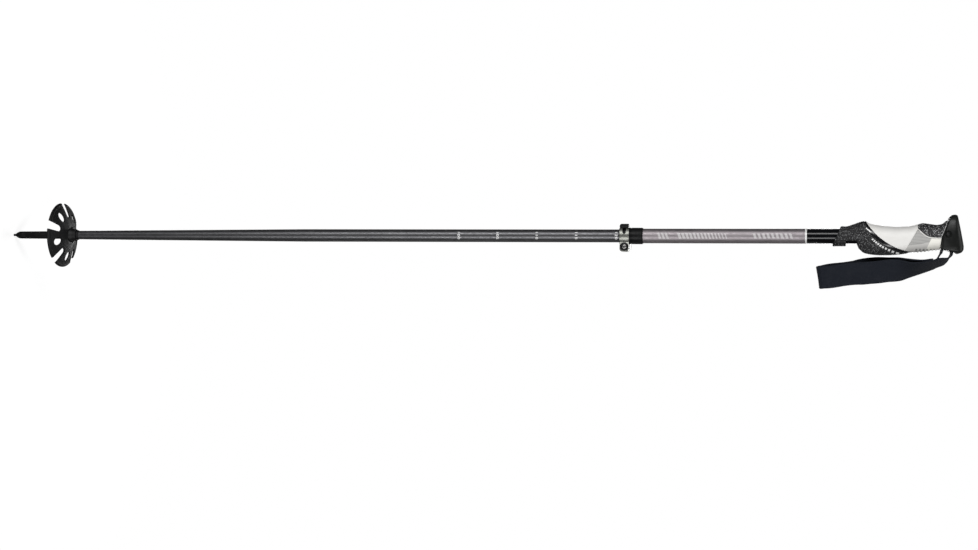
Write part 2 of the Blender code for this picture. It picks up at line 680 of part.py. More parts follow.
def build():
    clear_scene()
    carbide = plain_material("carbide", (0.10, 0.10, 0.11), 0.35, 0.9)
    black = plain_material("black_plastic", (0.030, 0.031, 0.033), 0.45)
    gloss = plain_material("gloss_black", (0.012, 0.012, 0.013), 0.15)
    rubber = plain_material("black_rubber", (0.026, 0.026, 0.027), 0.75)
    white = plain_material("white_rubber", (0.83, 0.82, 0.79), 0.5)
    grey = plain_material("grey_rubber", (0.50, 0.49, 0.46), 0.55)
    graphite = plain_material("graphite_tube", (0.075, 0.075, 0.085), 0.3, 0.6)
    mauve = plain_material("mauve_tube", (0.30, 0.27, 0.29), 0.3, 0.6)
    satin = plain_material("satin_metal", (0.36, 0.37, 0.35), 0.38, 0.9)
    steel = plain_material("steel", (0.62, 0.62, 0.60), 0.25, 1.0)
    webbing = plain_material("navy_webbing", (0.018, 0.024, 0.040), 0.85)

    grip = grip_parts()
    surfaces = {
        "handle": ((upper_shaft(), mauve), (upper_plug(), black), (clamp_sleeve(), black),
                   (clamp_band(), satin), (cam_washer(), steel), (grip["grip_body"], rubber),
                   (grip["grip_accent"], gloss), (grip["grip_palm"], white), (grip["grip_panel"], grey),
                   (grip["thumb_pad"], rubber), (grip_cap(), black), (strap_pin(), steel),
                   (strap_anchor(), webbing)),
        "guide": ((guide_bush(), black),),
        "lower": ((lower_shaft(), graphite), (lower_plug(), black), (tip_ferrule(), black),
                  (carbide_tip(), carbide)),
        "basket": ((basket(), black),),
        "screw": ((tension_screw(), steel),),
        "barrel": ((lever_pin(), steel),),
        "lever": ((clamp_lever(), black),),
        "wedge": ((strap_wedge(), black),),
        "strap": ((strap_loop(), webbing),),
    }
    for body, pieces in surfaces.items():
        group(body, [thing for thing, _ in pieces])
        for thing, surface in pieces:
            dress(thing, surface)


build()
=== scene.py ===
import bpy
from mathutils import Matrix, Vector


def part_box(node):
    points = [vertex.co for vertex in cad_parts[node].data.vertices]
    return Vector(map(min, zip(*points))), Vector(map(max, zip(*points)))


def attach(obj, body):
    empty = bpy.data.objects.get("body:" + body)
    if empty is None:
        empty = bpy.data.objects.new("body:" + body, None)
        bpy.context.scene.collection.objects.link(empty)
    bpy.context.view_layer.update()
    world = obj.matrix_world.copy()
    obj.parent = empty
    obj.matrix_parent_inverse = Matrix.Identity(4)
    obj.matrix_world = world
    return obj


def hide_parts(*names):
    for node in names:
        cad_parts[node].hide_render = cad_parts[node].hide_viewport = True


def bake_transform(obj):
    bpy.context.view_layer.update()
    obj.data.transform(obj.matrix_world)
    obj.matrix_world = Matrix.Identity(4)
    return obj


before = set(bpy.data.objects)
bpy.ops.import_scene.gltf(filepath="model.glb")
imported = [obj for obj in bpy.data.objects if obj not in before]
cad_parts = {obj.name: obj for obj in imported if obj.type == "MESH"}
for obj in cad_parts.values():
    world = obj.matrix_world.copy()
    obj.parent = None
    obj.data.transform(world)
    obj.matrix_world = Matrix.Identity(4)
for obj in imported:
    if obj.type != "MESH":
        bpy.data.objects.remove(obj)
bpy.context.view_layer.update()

# Looks of the adjustable ski pole. Numbers are millimetres in the frame; finished meshes are metres.
import math

import bmesh
import bpy
import numpy as np
from mathutils import Matrix, Vector, noise

MM = 0.001


def cad_box(node):
    """Low and high corner of a CAD node's box."""
    return [[v / MM for v in corner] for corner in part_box(node)]


# Heights and sizes that the CAD model fixes
(_, _, LOWER_LOW), (LOWER_R, _, LOWER_HIGH) = cad_box("lower_shaft")
(_, _, UPPER_LOW), (UPPER_R, _, UPPER_HIGH) = cad_box("upper_shaft")
(_, _, SLEEVE_LOW), (SLEEVE_R, _, SLEEVE_HIGH) = cad_box("clamp_sleeve")
(_, _, BAND_LOW), (_, _, BAND_HIGH) = cad_box("clamp_band")
CLAMP_Z, CLAMP_HEIGHT = (BAND_LOW + BAND_HIGH) / 2, BAND_HIGH - BAND_LOW
LOWER_R_TIP, LOWER_TAPER_END = 5.65, 409.0
LOWER_WALL, UPPER_WALL = 1.0, 0.75
BASKET_R = 42.5
GAP = 0.3                    # play between parts


# ---------------------------------------------------------------- curves and outlines

def interpolate(table, at):
    """Read a table of (position, value) with a smooth curve that never overshoots."""
    points = sorted(table)
    slopes = [(b[1] - a[1]) / (b[0] - a[0]) for a, b in zip(points, points[1:])]
    tangents = [slopes[0]]
    for before, after in zip(slopes, slopes[1:]):
        tangents.append(2 * before * after / (before + after) if before * after > 0 else 0.0)
    tangents.append(slopes[-1])
    at = min(max(at, points[0][0]), points[-1][0])
    last = len(points) - 2
    index = next((i for i in range(last + 1) if at <= points[i + 1][0]), last)
    (start, low), (end, high) = points[index], points[index + 1]
    span = end - start
    t = (at - start) / span
    rise = tangents[index] * span
    fall = tangents[index + 1] * span
    return (low * (1 + 2 * t) * (1 - t) ** 2 + high * t * t * (3 - 2 * t)
            + rise * t * (1 - t) ** 2 - fall * t * t * (1 - t))


def arc(centre, radius, start_deg, end_deg, steps):
    angles = [math.radians(start_deg + (end_deg - start_deg) * i / steps) for i in range(steps + 1)]
    return [(centre[0] + radius * math.cos(a), centre[1] + radius * math.sin(a)) for a in angles]


def rounded_box(low, high, radius, steps=8):
    (x0, y0), (x1, y1) = low, high
    outline = []
    for x, y, start in ((x1, y1, 0), (x0, y1, 90), (x0, y0, 180), (x1, y0, 270)):
        centre = (x - radius if x == x1 else x + radius, y - radius if y == y1 else y + radius)
        outline += arc(centre, radius, start, start + 90, steps)
    return outline


def soften(points, radius, steps=3, closed=False):
    """Round the corners of a polyline; radius is a number or one number for each point."""
    count = len(points)
    radii = radius if isinstance(radius, (list, tuple)) else [radius] * count
    result = []
    for i, point in enumerate(points):
        if not closed and i in (0, count - 1) or radii[i] <= 0:
            result.append(tuple(point))
            continue
        here = Vector(point)
        before = Vector(points[i - 1]) - here
        after = Vector(points[(i + 1) % count]) - here
        cut = min(radii[i], before.length * 0.45, after.length * 0.45)
        start = here + before.normalized() * cut
        end = here + after.normalized() * cut
        for k in range(steps + 1):
            t = k / steps
            result.append(tuple(start * (1 - t) ** 2 + here * 2 * t * (1 - t) + end * t * t))
    return result


def smooth_step(low, high, value):
    t = min(max((value - low) / (high - low), 0.0), 1.0)
    return t * t * (3 - 2 * t)


def rotated(x, y, turn):
    return x * math.cos(turn) - y * math.sin(turn), x * math.sin(turn) + y * math.cos(turn)


# ---------------------------------------------------------------- meshes

def new_object(name, data):
    thing = bpy.data.objects.new(name, data)
    bpy.context.scene.collection.objects.link(thing)
    return thing


def evaluated_mesh(thing):
    graph = bpy.context.evaluated_depsgraph_get()
    return bpy.data.meshes.new_from_object(thing.evaluated_get(graph), depsgraph=graph)


def raw(name, vertices, faces):
    """A mesh object from millimetres, still to be cut, joined or finished."""
    mesh = bpy.data.meshes.new(name)
    mesh.from_pydata([(x * MM, y * MM, z * MM) for x, y, z in vertices], [], faces)
    thing = new_object(name, mesh)
    bm = bmesh.new()
    bm.from_mesh(mesh)
    bmesh.ops.recalc_face_normals(bm, faces=bm.faces)
    bm.to_mesh(mesh)
    bm.free()
    return thing


def finish_piece(thing, material, body, replaces=(), slot=None, angle=35.0):
    """Give a mesh its material and shading, and let it ride on its body."""
    for surface in material if isinstance(material, (list, tuple)) else [material]:
        thing.data.materials.append(surface)
    thing.data.shade_smooth()
    thing.data.set_sharp_from_angle(angle=math.radians(angle))
    if body:
        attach(thing, body)
    if replaces:
        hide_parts(*replaces)
    return thing


def piece(name, vertices, faces, material, body, *rest, **more):
    """A finished piece straight from its vertices and faces."""
    return finish_piece(raw(name, vertices, faces), material, body, *rest, **more)


def loft(rings, closed=False, caps=True):
    """Vertices and faces through rings of points."""
    count, total = len(rings[0]), len(rings)
    faces = []
    for r in range(total if closed else total - 1):
        low, high = r * count, (r + 1) % total * count
        faces += [(low + i, low + (i + 1) % count, high + (i + 1) % count, high + i) for i in range(count)]
    if caps and not closed:
        faces += [tuple(range(count)), tuple(reversed(range((total - 1) * count, total * count)))]
    return [point for ring in rings for point in ring], faces


def circle(radius, z, segments):
    step = 2 * math.pi / segments
    return [(radius * math.cos(i * step), radius * math.sin(i * step), z) for i in range(segments)]


def turned(profile, segments=96, tube=False):
    return loft([circle(radius, z, segments) for radius, z in profile], closed=tube)


def prism(outline, axis, low, high):
    """An outline of (x, z) pushed along Y, or one of (x, y) pushed along Z."""
    return loft([[(a, depth, b) if axis == "Y" else (a, b, depth) for a, b in outline] for depth in (low, high)])


def join_data(parts):
    """One list of vertices and faces from several."""
    vertices, faces = [], []
    for more, sides in parts:
        base = len(vertices)
        vertices += more
        faces += [tuple(base + i for i in side) for side in sides]
    return vertices, faces


def lay_along_y(data, x, z):
    """Turn something made about Z so that its axis runs along +Y through x and z."""
    vertices, faces = data
    return [(px + x, pz, z - py) for px, py, pz in vertices], faces


def apply_modifiers(thing):
    result = evaluated_mesh(thing)
    thing.modifiers.clear()
    old = thing.data
    thing.data = result
    bpy.data.meshes.remove(old)
    return thing


def cut(target, data, operation="DIFFERENCE"):
    cutter = raw("cutter", *data)
    modifier = target.modifiers.new("cut", "BOOLEAN")
    modifier.operation = operation
    modifier.solver = "EXACT"
    modifier.object = cutter
    apply_modifiers(target)
    bpy.data.objects.remove(cutter)
    return target


def bevel(target, width, segments=3, angle=40.0):
    modifier = target.modifiers.new("bevel", "BEVEL")
    modifier.width = width * MM
    modifier.segments = segments
    modifier.limit_method = "ANGLE"
    modifier.angle_limit = math.radians(angle)
    modifier.use_clamp_overlap = True
    return apply_modifiers(target)


# ---------------------------------------------------------------- materials

class Surface:
    """A Principled material with small helpers for procedural detail in object space."""

    def __init__(self, name, colour, roughness, metallic=0.0, specular=0.5, sheen=0.0):
        self.material = bpy.data.materials.new(name)
        self.material.use_nodes = True
        self.tree = self.material.node_tree
        self.shader = self.tree.nodes["Principled BSDF"]
        self.colour = (*colour, 1.0)
        for socket, value in (("Base Color", self.colour), ("Roughness", roughness), ("Metallic", metallic),
                              ("Specular IOR Level", specular), ("Sheen Weight", sheen), ("Sheen Roughness", 0.45)):
            self.shader.inputs[socket].default_value = value
        self.coordinates = self.node("ShaderNodeTexCoord").outputs["Object"]

    def node(self, kind, **settings):
        made = self.tree.nodes.new(kind)
        for key, value in settings.items():
            setattr(made, key, value)
        return made

    def link(self, start, end):
        self.tree.links.new(start, end)

    def stretched(self, x, y, z):
        """Object coordinates multiplied along each axis."""
        mapping = self.node("ShaderNodeMapping")
        mapping.inputs["Scale"].default_value = (x, y, z)
        self.link(self.coordinates, mapping.inputs["Vector"])
        return mapping.outputs["Vector"]

    def texture(self, kind, per_mm, source=None, **inputs):
        made = self.node("ShaderNodeTex" + kind)
        made.inputs["Scale"].default_value = per_mm * 1000
        for key, value in inputs.items():
            made.inputs[key].default_value = value
        self.link(source or self.coordinates, made.inputs["Vector"])
        return made

    def noise(self, per_mm, detail=3.0, source=None):
        return self.texture("Noise", per_mm, source, Detail=detail, Roughness=0.55).outputs["Fac"]

    def cells(self, per_mm):
        return self.texture("Voronoi", per_mm).outputs["Distance"]

    def painted_glints(self, per_mm, few, many):
        """A painted highlight in the middle of some of the cells, brighter in some than in others."""
        texture = self.texture("Voronoi", per_mm)
        parts = self.node("ShaderNodeSeparateColor")
        self.link(texture.outputs["Color"], parts.inputs["Color"])
        chosen = self.ramp(parts.outputs["Red"], few, many)
        ragged = self.maths("ADD", texture.outputs["Distance"], self.ramp(self.noise(1.5), 0.3, 0.7, -0.22, 0.22))
        return self.maths("MULTIPLY", chosen, self.ramp(ragged, 0.16, 0.44, 1.0, 0.0))

    def ramp(self, value, low, high, start=0.0, end=1.0, smooth=True):
        """Map a value's range onto another one."""
        made = self.node("ShaderNodeMapRange", interpolation_type="SMOOTHSTEP" if smooth else "LINEAR")
        for key, number in (("From Min", low), ("From Max", high), ("To Min", start), ("To Max", end)):
            made.inputs[key].default_value = number
        self.link(value, made.inputs["Value"])
        return made.outputs["Result"]

    def maths(self, operation, a, b=None):
        made = self.node("ShaderNodeMath", operation=operation)
        for socket, value in zip(made.inputs, (a, b)):
            if value is None:
                continue
            if isinstance(value, (int, float)):
                socket.default_value = value
            else:
                self.link(value, socket)
        return made.outputs[0]

    def blend_colour(self, factor, colour):
        """Lay a colour over what the surface has so far, by a factor."""
        mix = self.node("ShaderNodeMix", data_type="RGBA")
        before = self.shader.inputs["Base Color"].links
        under, over = mix.inputs[6], mix.inputs[7]          # the two colour sockets
        if before:
            self.link(before[0].from_socket, under)
        else:
            under.default_value = self.colour
        over.default_value = (*colour, 1.0)
        self.link(factor, mix.inputs[0])
        self.link(mix.outputs[2], self.shader.inputs["Base Color"])
        return self

    def patches(self, per_mm, detail, low, high, amount, colour):
        """Soft patches of another colour."""
        return self.blend_colour(self.ramp(self.noise(per_mm, detail), low, high, 0.0, amount), colour)

    def rough(self, value):
        self.link(value, self.shader.inputs["Roughness"])
        return self

    def gloss(self, per_mm, detail, start, end, low=0.3, high=0.7):
        """Roughness that wanders from start to end."""
        return self.rough(self.ramp(self.noise(per_mm, detail), low, high, start, end))

    def bump(self, value, distance_mm, strength=1.0):
        made = self.node("ShaderNodeBump")
        made.inputs["Distance"].default_value = distance_mm * MM
        made.inputs["Strength"].default_value = strength
        self.link(value, made.inputs["Height"])
        before = self.shader.inputs["Normal"].links
        if before:
            self.link(before[0].from_socket, made.inputs["Normal"])
        self.link(made.outputs["Normal"], self.shader.inputs["Normal"])
        return self

    def grain(self, per_mm, detail, distance_mm, strength):
        return self.bump(self.noise(per_mm, detail), distance_mm, strength)

    def attribute(self, name):
        return self.node("ShaderNodeAttribute", attribute_name=name).outputs["Fac"]


def moulded(name, colour, roughness, per_mm=2.2, depth=0.05, lighter=0.02, specular=0.26):
    """Moulded plastic: fine grain, slightly uneven gloss, faint scuffs."""
    s = Surface(name, colour, roughness, specular=specular)
    s.grain(per_mm, 4.0, depth, 0.7).gloss(0.05, 3.0, roughness - 0.08, roughness + 0.08)
    return s.patches(0.4, 5.0, 0.5, 0.75, 1.0, tuple(c + lighter for c in colour)).material


def tube_finish(name, colour, roughness, metallic, lighter, darker):
    """Anodised tube: lines of the drawing die along it, small scuffs, soft change of tone."""
    s = Surface(name, colour, roughness, metallic)
    drawn = s.noise(1.0, 2.0, s.stretched(1.1, 1.1, 0.008))
    s.blend_colour(s.ramp(drawn, 0.35, 0.75, 0.0, 0.5), lighter).patches(0.012, 2.0, 0.35, 0.7, 0.5, darker)
    s.gloss(0.25, 5.0, roughness - 0.05, roughness + 0.08, 0.3, 0.75)
    return s.bump(drawn, 0.008, 0.4).material


def paint(name, colour, roughness=0.4):
    """Printed ink or lacquer, slightly uneven."""
    s = Surface(name, colour, roughness)
    return s.patches(1.6, 4.0, 0.5, 0.8, 0.6, tuple(c * 0.8 for c in colour)).grain(3.0, 3.0, 0.01, 0.4).material


def make_materials():
    m = {}
    m["black"] = moulded("black_plastic", (0.006, 0.0062, 0.0068), 0.42, lighter=0.008)
    m["sleeve"] = moulded("sleeve_plastic", (0.004, 0.0042, 0.0046), 0.46, lighter=0.005, specular=0.16)
    m["hidden"] = moulded("inner_plastic", (0.05, 0.05, 0.053), 0.5, 1.2, 0.06)
    m["graphite"] = tube_finish("graphite_tube", (0.115, 0.115, 0.12), 0.38, 0.85,
                                (0.17, 0.17, 0.175), (0.085, 0.085, 0.09))
    m["mauve"] = tube_finish("mauve_tube", (0.30, 0.272, 0.285), 0.52, 0.95,
                             (0.37, 0.34, 0.355), (0.25, 0.228, 0.24))
    m["print"] = paint("print_silver", (0.82, 0.82, 0.81))
    m["print_soft"] = paint("print_pale", (0.52, 0.50, 0.505))
    m["ring"] = paint("ring_white", (0.80, 0.80, 0.79), 0.35)

    s = Surface("gloss_tube", (0.003, 0.003, 0.0038), 0.13, specular=0.35)
    s.gloss(0.3, 4.0, 0.10, 0.19, 0.35).patches(2.0, 5.0, 0.66, 0.8, 0.4, (0.03, 0.03, 0.032))
    m["gloss_tube"] = s.grain(0.8, 3.0, 0.006, 0.4).material

    s = Surface("gloss_accent", (0.006, 0.006, 0.007), 0.18)
    s.gloss(0.4, 4.0, 0.12, 0.24).grain(1.6, 3.0, 0.02, 0.5)
    m["accent"] = s.patches(0.7, 4.0, 0.5, 0.8, 0.6, (0.012, 0.012, 0.0135)).material

    # Basket: tough matt plastic with the turning marks of its mould
    s = Surface("basket_plastic", (0.0045, 0.0047, 0.0052), 0.48, specular=0.32)
    turning = s.texture("Wave", 0.33, Distortion=0.6, Detail=1.0)
    turning.wave_type, turning.rings_direction = "RINGS", "Z"
    s.bump(turning.outputs["Fac"], 0.03, 0.5).grain(1.8, 4.0, 0.06, 0.6).gloss(0.06, 4.0, 0.40, 0.58)
    m["basket"] = s.patches(0.3, 6.0, 0.52, 0.8, 0.8, (0.011, 0.0115, 0.0125)).material

    # Blasted metal of the clamp
    s = Surface("satin_metal", (0.25, 0.255, 0.232), 0.34, 0.9)
    s.patches(2.4, 2.0, 0.4, 0.68, 0.8, (0.15, 0.157, 0.138)).patches(0.6, 4.0, 0.5, 0.75, 0.5, (0.31, 0.315, 0.29))
    m["satin"] = s.gloss(1.2, 4.0, 0.28, 0.46).grain(3.0, 3.0, 0.05, 0.8).material

    s = Surface("lever_metal", (0.02, 0.0205, 0.021), 0.4, 0.4)
    s.grain(2.6, 3.0, 0.05, 0.7).gloss(0.4, 4.0, 0.32, 0.5)
    m["lever"] = s.patches(0.5, 6.0, 0.58, 0.74, 0.7, (0.06, 0.06, 0.06)).material

    s = Surface("steel", (0.60, 0.60, 0.585), 0.24, 1.0)
    s.gloss(1.0, 5.0, 0.16, 0.36).patches(1.4, 4.0, 0.45, 0.7, 0.8, (0.42, 0.42, 0.41))
    m["steel"] = s.bump(s.noise(2.0, 3.0, s.stretched(1.0, 0.1, 1.0)), 0.02, 0.5).material

    s = Surface("blackened_steel", (0.012, 0.012, 0.0125), 0.45, 0.3)
    m["dark_steel"] = s.patches(1.2, 4.0, 0.5, 0.7, 0.6, (0.03, 0.03, 0.03)).gloss(1.0, 5.0, 0.34, 0.55).material

    s = Surface("carbide", (0.05, 0.05, 0.052), 0.38, 0.85)
    s.gloss(1.5, 5.0, 0.28, 0.5).patches(1.1, 5.0, 0.45, 0.7, 1.0, (0.09, 0.09, 0.09))
    m["carbide"] = s.grain(2.5, 3.0, 0.05, 0.6).material

    # Black rubber, with painted highlights on the tops of its pebbles
    s = Surface("black_rubber", (0.009, 0.009, 0.0098), 0.6, specular=0.35)
    pebble = s.ramp(s.cells(0.75), 0.05, 0.55, 1.0, 0.0)
    s.bump(pebble, 0.25, 0.9).grain(3.5, 3.0, 0.05, 0.6)
    # Painted highlights: pale spots on the pebble tops
    s.blend_colour(s.painted_glints(0.75, 0.40, 0.66), (0.28, 0.28, 0.285))
    m["rubber"] = s.rough(s.ramp(pebble, 0.2, 0.9, 0.66, 0.36)).material

    s = Surface("thumb_rubber", (0.010, 0.010, 0.0108), 0.6, specular=0.35)
    s.bump(s.ramp(s.cells(0.62), 0.05, 0.5, 1.0, 0.0), 0.2, 0.8).grain(4.0, 3.0, 0.05, 0.6)
    # Painted highlights: bright spots on the tops of the thumb pad's studs
    s.blend_colour(s.painted_glints(0.62, 0.38, 0.52), (0.52, 0.52, 0.525))
    m["thumb"] = s.gloss(1.0, 4.0, 0.4, 0.66).material

    # Pale rubber, a little greyer in soft random patches, as where hands have been
    s = Surface("white_rubber", (0.80, 0.79, 0.765), 0.5)
    s.patches(0.03, 4.0, 0.45, 0.8, 0.6, (0.73, 0.715, 0.68)).patches(0.9, 6.0, 0.6, 0.85, 0.5, (0.66, 0.645, 0.61))
    m["white"] = s.gloss(0.2, 4.0, 0.42, 0.58).grain(2.4, 4.0, 0.05, 0.6).material

    # Grey rubber of the panel: its zones and the height of its relief come from the mesh; the low parts of the relief
    # get painted shade
    s = Surface("grey_rubber", (0.46, 0.455, 0.44), 0.5)
    s.blend_colour(s.ramp(s.attribute("smooth_zone"), 0.0, 1.0, smooth=False), (0.56, 0.55, 0.53))
    s.blend_colour(s.ramp(s.attribute("warm_zone"), 0.0, 1.0, smooth=False), (0.90, 0.885, 0.82))
    # Painted shade: darker where the relief is low, in the grooves of the checkering and between the ribs
    s.blend_colour(s.ramp(s.attribute("raised"), 0.1, 0.75, 0.75, 0.0), (0.17, 0.17, 0.165))
    m["grey"] = s.gloss(0.3, 4.0, 0.4, 0.56).grain(2.6, 4.0, 0.04, 0.6).material

    # Head of the grip: satin soft-touch plastic
    s = Surface("cap_plastic", (0.0062, 0.0068, 0.0064), 0.40, specular=0.32)
    s.patches(0.06, 4.0, 0.4, 0.75, 0.8, (0.012, 0.013, 0.012)).gloss(0.08, 5.0, 0.30, 0.48)
    m["cap"] = s.grain(2.4, 4.0, 0.035, 0.6).material

    # Webbing: warp ribs along the strap, crossed by the weft, from the strap's own coordinates
    s = Surface("navy_webbing", (0.0062, 0.0082, 0.0135), 0.85, specular=0.2, sheen=0.06)
    along = s.attribute("along")
    across = s.attribute("across")
    rib = s.maths("SINE", s.maths("MULTIPLY", across, 2 * math.pi / 1.5))
    shift = s.maths("MULTIPLY", s.maths("SIGN", rib), math.pi / 2)
    weft = s.maths("SINE", s.maths("ADD", s.maths("MULTIPLY", along, 2 * math.pi / 1.3), shift))
    woven = s.maths("ADD", s.maths("MULTIPLY", s.maths("ABSOLUTE", rib), 0.6), s.maths("MULTIPLY", weft, 0.4))
    s.bump(woven, 0.22, 0.8).grain(4.0, 3.0, 0.05, 0.6)
    # Painted highlight: the raised parts of the weave are painted lighter
    s.blend_colour(s.ramp(woven, 0.2, 0.95, 0.0, 0.75), (0.0115, 0.0145, 0.0225))
    s.patches(0.08, 4.0, 0.45, 0.8, 0.6, (0.0145, 0.0165, 0.0225))
    m["webbing"] = s.gloss(0.6, 4.0, 0.7, 0.9).material
    return m


MAT = make_materials()


# ---------------------------------------------------------------- tip, ferrule and basket

def carbide_tip():
    profile = soften(((0.02, 0.75), (0.7, 0.45), (1.1, 0.0), (1.3, 0.0), (1.5, 0.5), (1.5, 14.4), (1.1, 15.0)),
                     (0, 0.2, 0.08, 0.08, 0.2, 0.3, 0))
    piece("carbide_tip_ground", *turned(profile, 48), MAT["carbide"], "lower", ["carbide_tip"], "carbide")


def tip_ferrule():
    """Fluted ferrule: soft flutes that run out at both ends, with two rings below the flange."""
    outline = ((1.8, 15.3), (1.8, 4.2), (2.7, 4.2), (4.7, 8.4), (4.75, 11.0), (5.0, 40.0), (5.1, 62.0),
               (5.15, 70.0), (5.15, 91.5), (6.4, 91.5), (6.4, 93.6), (5.8, 94.0), (4.3, 94.0), (4.3, 118.0))
    base = soften(outline, (0, 0.2, 0.4, 0.9, 0.6, 0, 0, 0, 0, 0.4, 0.4, 0.2, 0, 0))
    profile = []
    for (r0, z0), (r1, z1) in zip(base, base[1:]):
        steps = max(1, int(abs(z1 - z0) / 1.2)) if r0 > 4.4 and r1 > 4.4 else 1
        profile += [(r0 + (r1 - r0) * k / steps, z0 + (z1 - z0) * k / steps) for k in range(steps)]
    profile.append(base[-1])
    angles = [2 * math.pi * i / 96 for i in range(96)]
    rings = []
    for radius, z in profile:
        outside = radius > 4.4
        fade = outside * smooth_step(13.0, 18.0, z) * (1 - smooth_step(58.0, 64.0, z))
        ridge = outside * sum(0.25 * math.exp(-((z - middle) / 0.7) ** 2) for middle in (68.0, 71.5))
        reach = [radius - 0.5 * fade * (0.5 - 0.5 * math.cos(8 * a)) ** 0.7 + ridge for a in angles]
        rings.append([(r * math.cos(a), r * math.sin(a), z) for r, a in zip(reach, angles)])
    piece("ferrule_fluted", *loft(rings), MAT["black"], "lower", ["tip_ferrule"], "black_plastic")


def basket_height(radius):
    return 84.5 - 13.5 * (radius / BASKET_R) ** 1.7


def spun(outline, turn):
    """A cutter through the basket, turned about its axis."""
    return prism([rotated(x, y, turn) for x, y in outline], "Z", 40.0, 100.0)


def basket():
    """Domed disc with a thickened rim, a groove round its hub, open slots and oval holes."""
    upper, lower, radius = [], [], 11.6
    while radius <= 41.8:
        rim = 0.35 * smooth_step(39.6, 40.6, radius)
        upper.append((radius, basket_height(radius) + rim))
        lower.append((radius, basket_height(radius) - 2.2 - rim * 0.5))
        radius += 1.0
    end = basket_height(BASKET_R)
    edge = soften(((41.9, end + 0.45), (BASKET_R, end - 0.1), (BASKET_R, end - 1.8), (41.9, end - 2.2)), 0.5)
    hub = soften(((5.5, 90.8), (5.9, 91.2), (7.2, 91.2), (7.6, 90.6), (8.0, 86.6), (8.9, 84.6), (9.4, 82.2),
                  (10.4, 82.0), (11.0, 83.0)), (0, 0.3, 0.3, 0.4, 0.8, 0.6, 0.4, 0.4, 0))
    skirt = soften(((9.4, 80.6), (8.5, 78.8), (8.4, 76.9), (7.9, 76.5), (5.9, 76.5), (5.5, 76.9)),
                   (0, 0.6, 0.3, 0.3, 0.3, 0))
    disc = raw("basket_disc", *turned(hub + upper + edge + lower[::-1] + skirt, 160, tube=True))
    cutters = []
    for arm in range(5):
        turn = math.radians(180 + arm * 72)
        slot = [(60.0, -7.6), (60.0, 7.6)] + arc((27.2, 0.0), 4.3, 90, 270, 24)
        hole = [(28.4 + 6.4 * x, 5.0 * y) for x, y in arc((0.0, 0.0), 1.0, 0, 352.5, 47)]
        cutters += [spun(slot, turn), spun(hole, turn + math.pi / 5)]
    cut(disc, join_data(cutters))
    bevel(disc, 0.45, 3, 50.0)
    finish_piece(disc, MAT["basket"], "basket", ["basket"], "basket_plastic")


def basket_ribs():
    """Five low ribs under the disc, from the skirt out to the rim, between each hole and slot."""
    parts = []
    for arm in range(10):
        turn = math.radians(18 + 36 * arm)
        rings = []
        for k in range(12):
            share = k / 11
            radius = 9.6 + (37.5 - 9.6) * share
            top, depth, half = basket_height(radius) - 2.0, 1.7 * (1 - 0.75 * share), 0.7 - 0.2 * share
            section = soften(((-half, top), (-half * 0.7, top - 0.2 - depth), (half * 0.7, top - 0.2 - depth),
                              (half, top)), 0.25, 2)
            rings.append([(*rotated(radius, y, turn), z) for y, z in section])
        parts.append(loft(rings))
    piece("basket_ribs", *join_data(parts), MAT["basket"], "basket", slot="basket_plastic")


# ---------------------------------------------------------------- tubes and their print

def lower_tube():
    outer = [(LOWER_R_TIP - 0.25, LOWER_LOW), (LOWER_R_TIP, LOWER_LOW + 0.25), (LOWER_R, LOWER_TAPER_END),
             (LOWER_R, LOWER_HIGH - 0.25), (LOWER_R - 0.25, LOWER_HIGH)]
    inner = [(LOWER_R - LOWER_WALL, LOWER_HIGH), (LOWER_R - LOWER_WALL, LOWER_TAPER_END),
             (LOWER_R_TIP - LOWER_WALL, LOWER_LOW)]
    piece("lower_tube", *turned(outer + inner, 96, tube=True), MAT["graphite"], "lower", ["lower_shaft"],
          "graphite_tube")


def upper_tube():
    """The upper tube, with its white ring and the glossy black section that the grip sits on."""
    ring_low, ring_high = 1043.0, 1045.0
    heights = (UPPER_LOW, UPPER_LOW + 0.3, ring_low - 0.02, ring_low, ring_high, ring_high + 0.02,
               UPPER_HIGH - 0.3, UPPER_HIGH)
    radii = (UPPER_R - 0.25, UPPER_R, UPPER_R, UPPER_R + 0.06, UPPER_R + 0.06, UPPER_R, UPPER_R, UPPER_R - 0.25)
    profile = list(zip(radii, heights)) + [(UPPER_R - UPPER_WALL, UPPER_HIGH), (UPPER_R - UPPER_WALL, UPPER_LOW)]
    tube = piece("upper_tube", *turned(profile, 96, tube=True), [MAT["mauve"], MAT["ring"], MAT["gloss_tube"]],
                 "handle", ["upper_shaft"], "mauve_tube")
    for face in tube.data.polygons:
        z = face.center.z / MM
        outside = math.hypot(face.center.x, face.center.y) / MM > UPPER_R - 0.3
        if outside and ring_low - 0.05 < z < ring_high + 0.05:
            face.material_index = 1
        elif outside and z > ring_high:
            face.material_index = 2


BAR_LEAN = 0.35              # mm along the tube for each mm round it


def on_tube(x, z, radius, thick):
    """A point of a flat drawing (x round the tube from its front, z along it) laid on the tube."""
    return ((radius + thick) * math.sin(x / radius), -(radius + thick) * math.cos(x / radius), z)


def tube_bar(half, low, high):
    """A printed bar on the upper tube that leans along it."""
    steps = max(2, math.ceil(2 * half / 0.4))
    rings = []
    for k in range(steps + 1):
        x = -half + 2 * half * k / steps
        lean = BAR_LEAN * x
        rings.append([on_tube(x, z + lean, UPPER_R, depth)
                      for z, depth in ((low, -0.1), (high, -0.1), (high, 0.07), (low, 0.07))])
    return loft(rings)


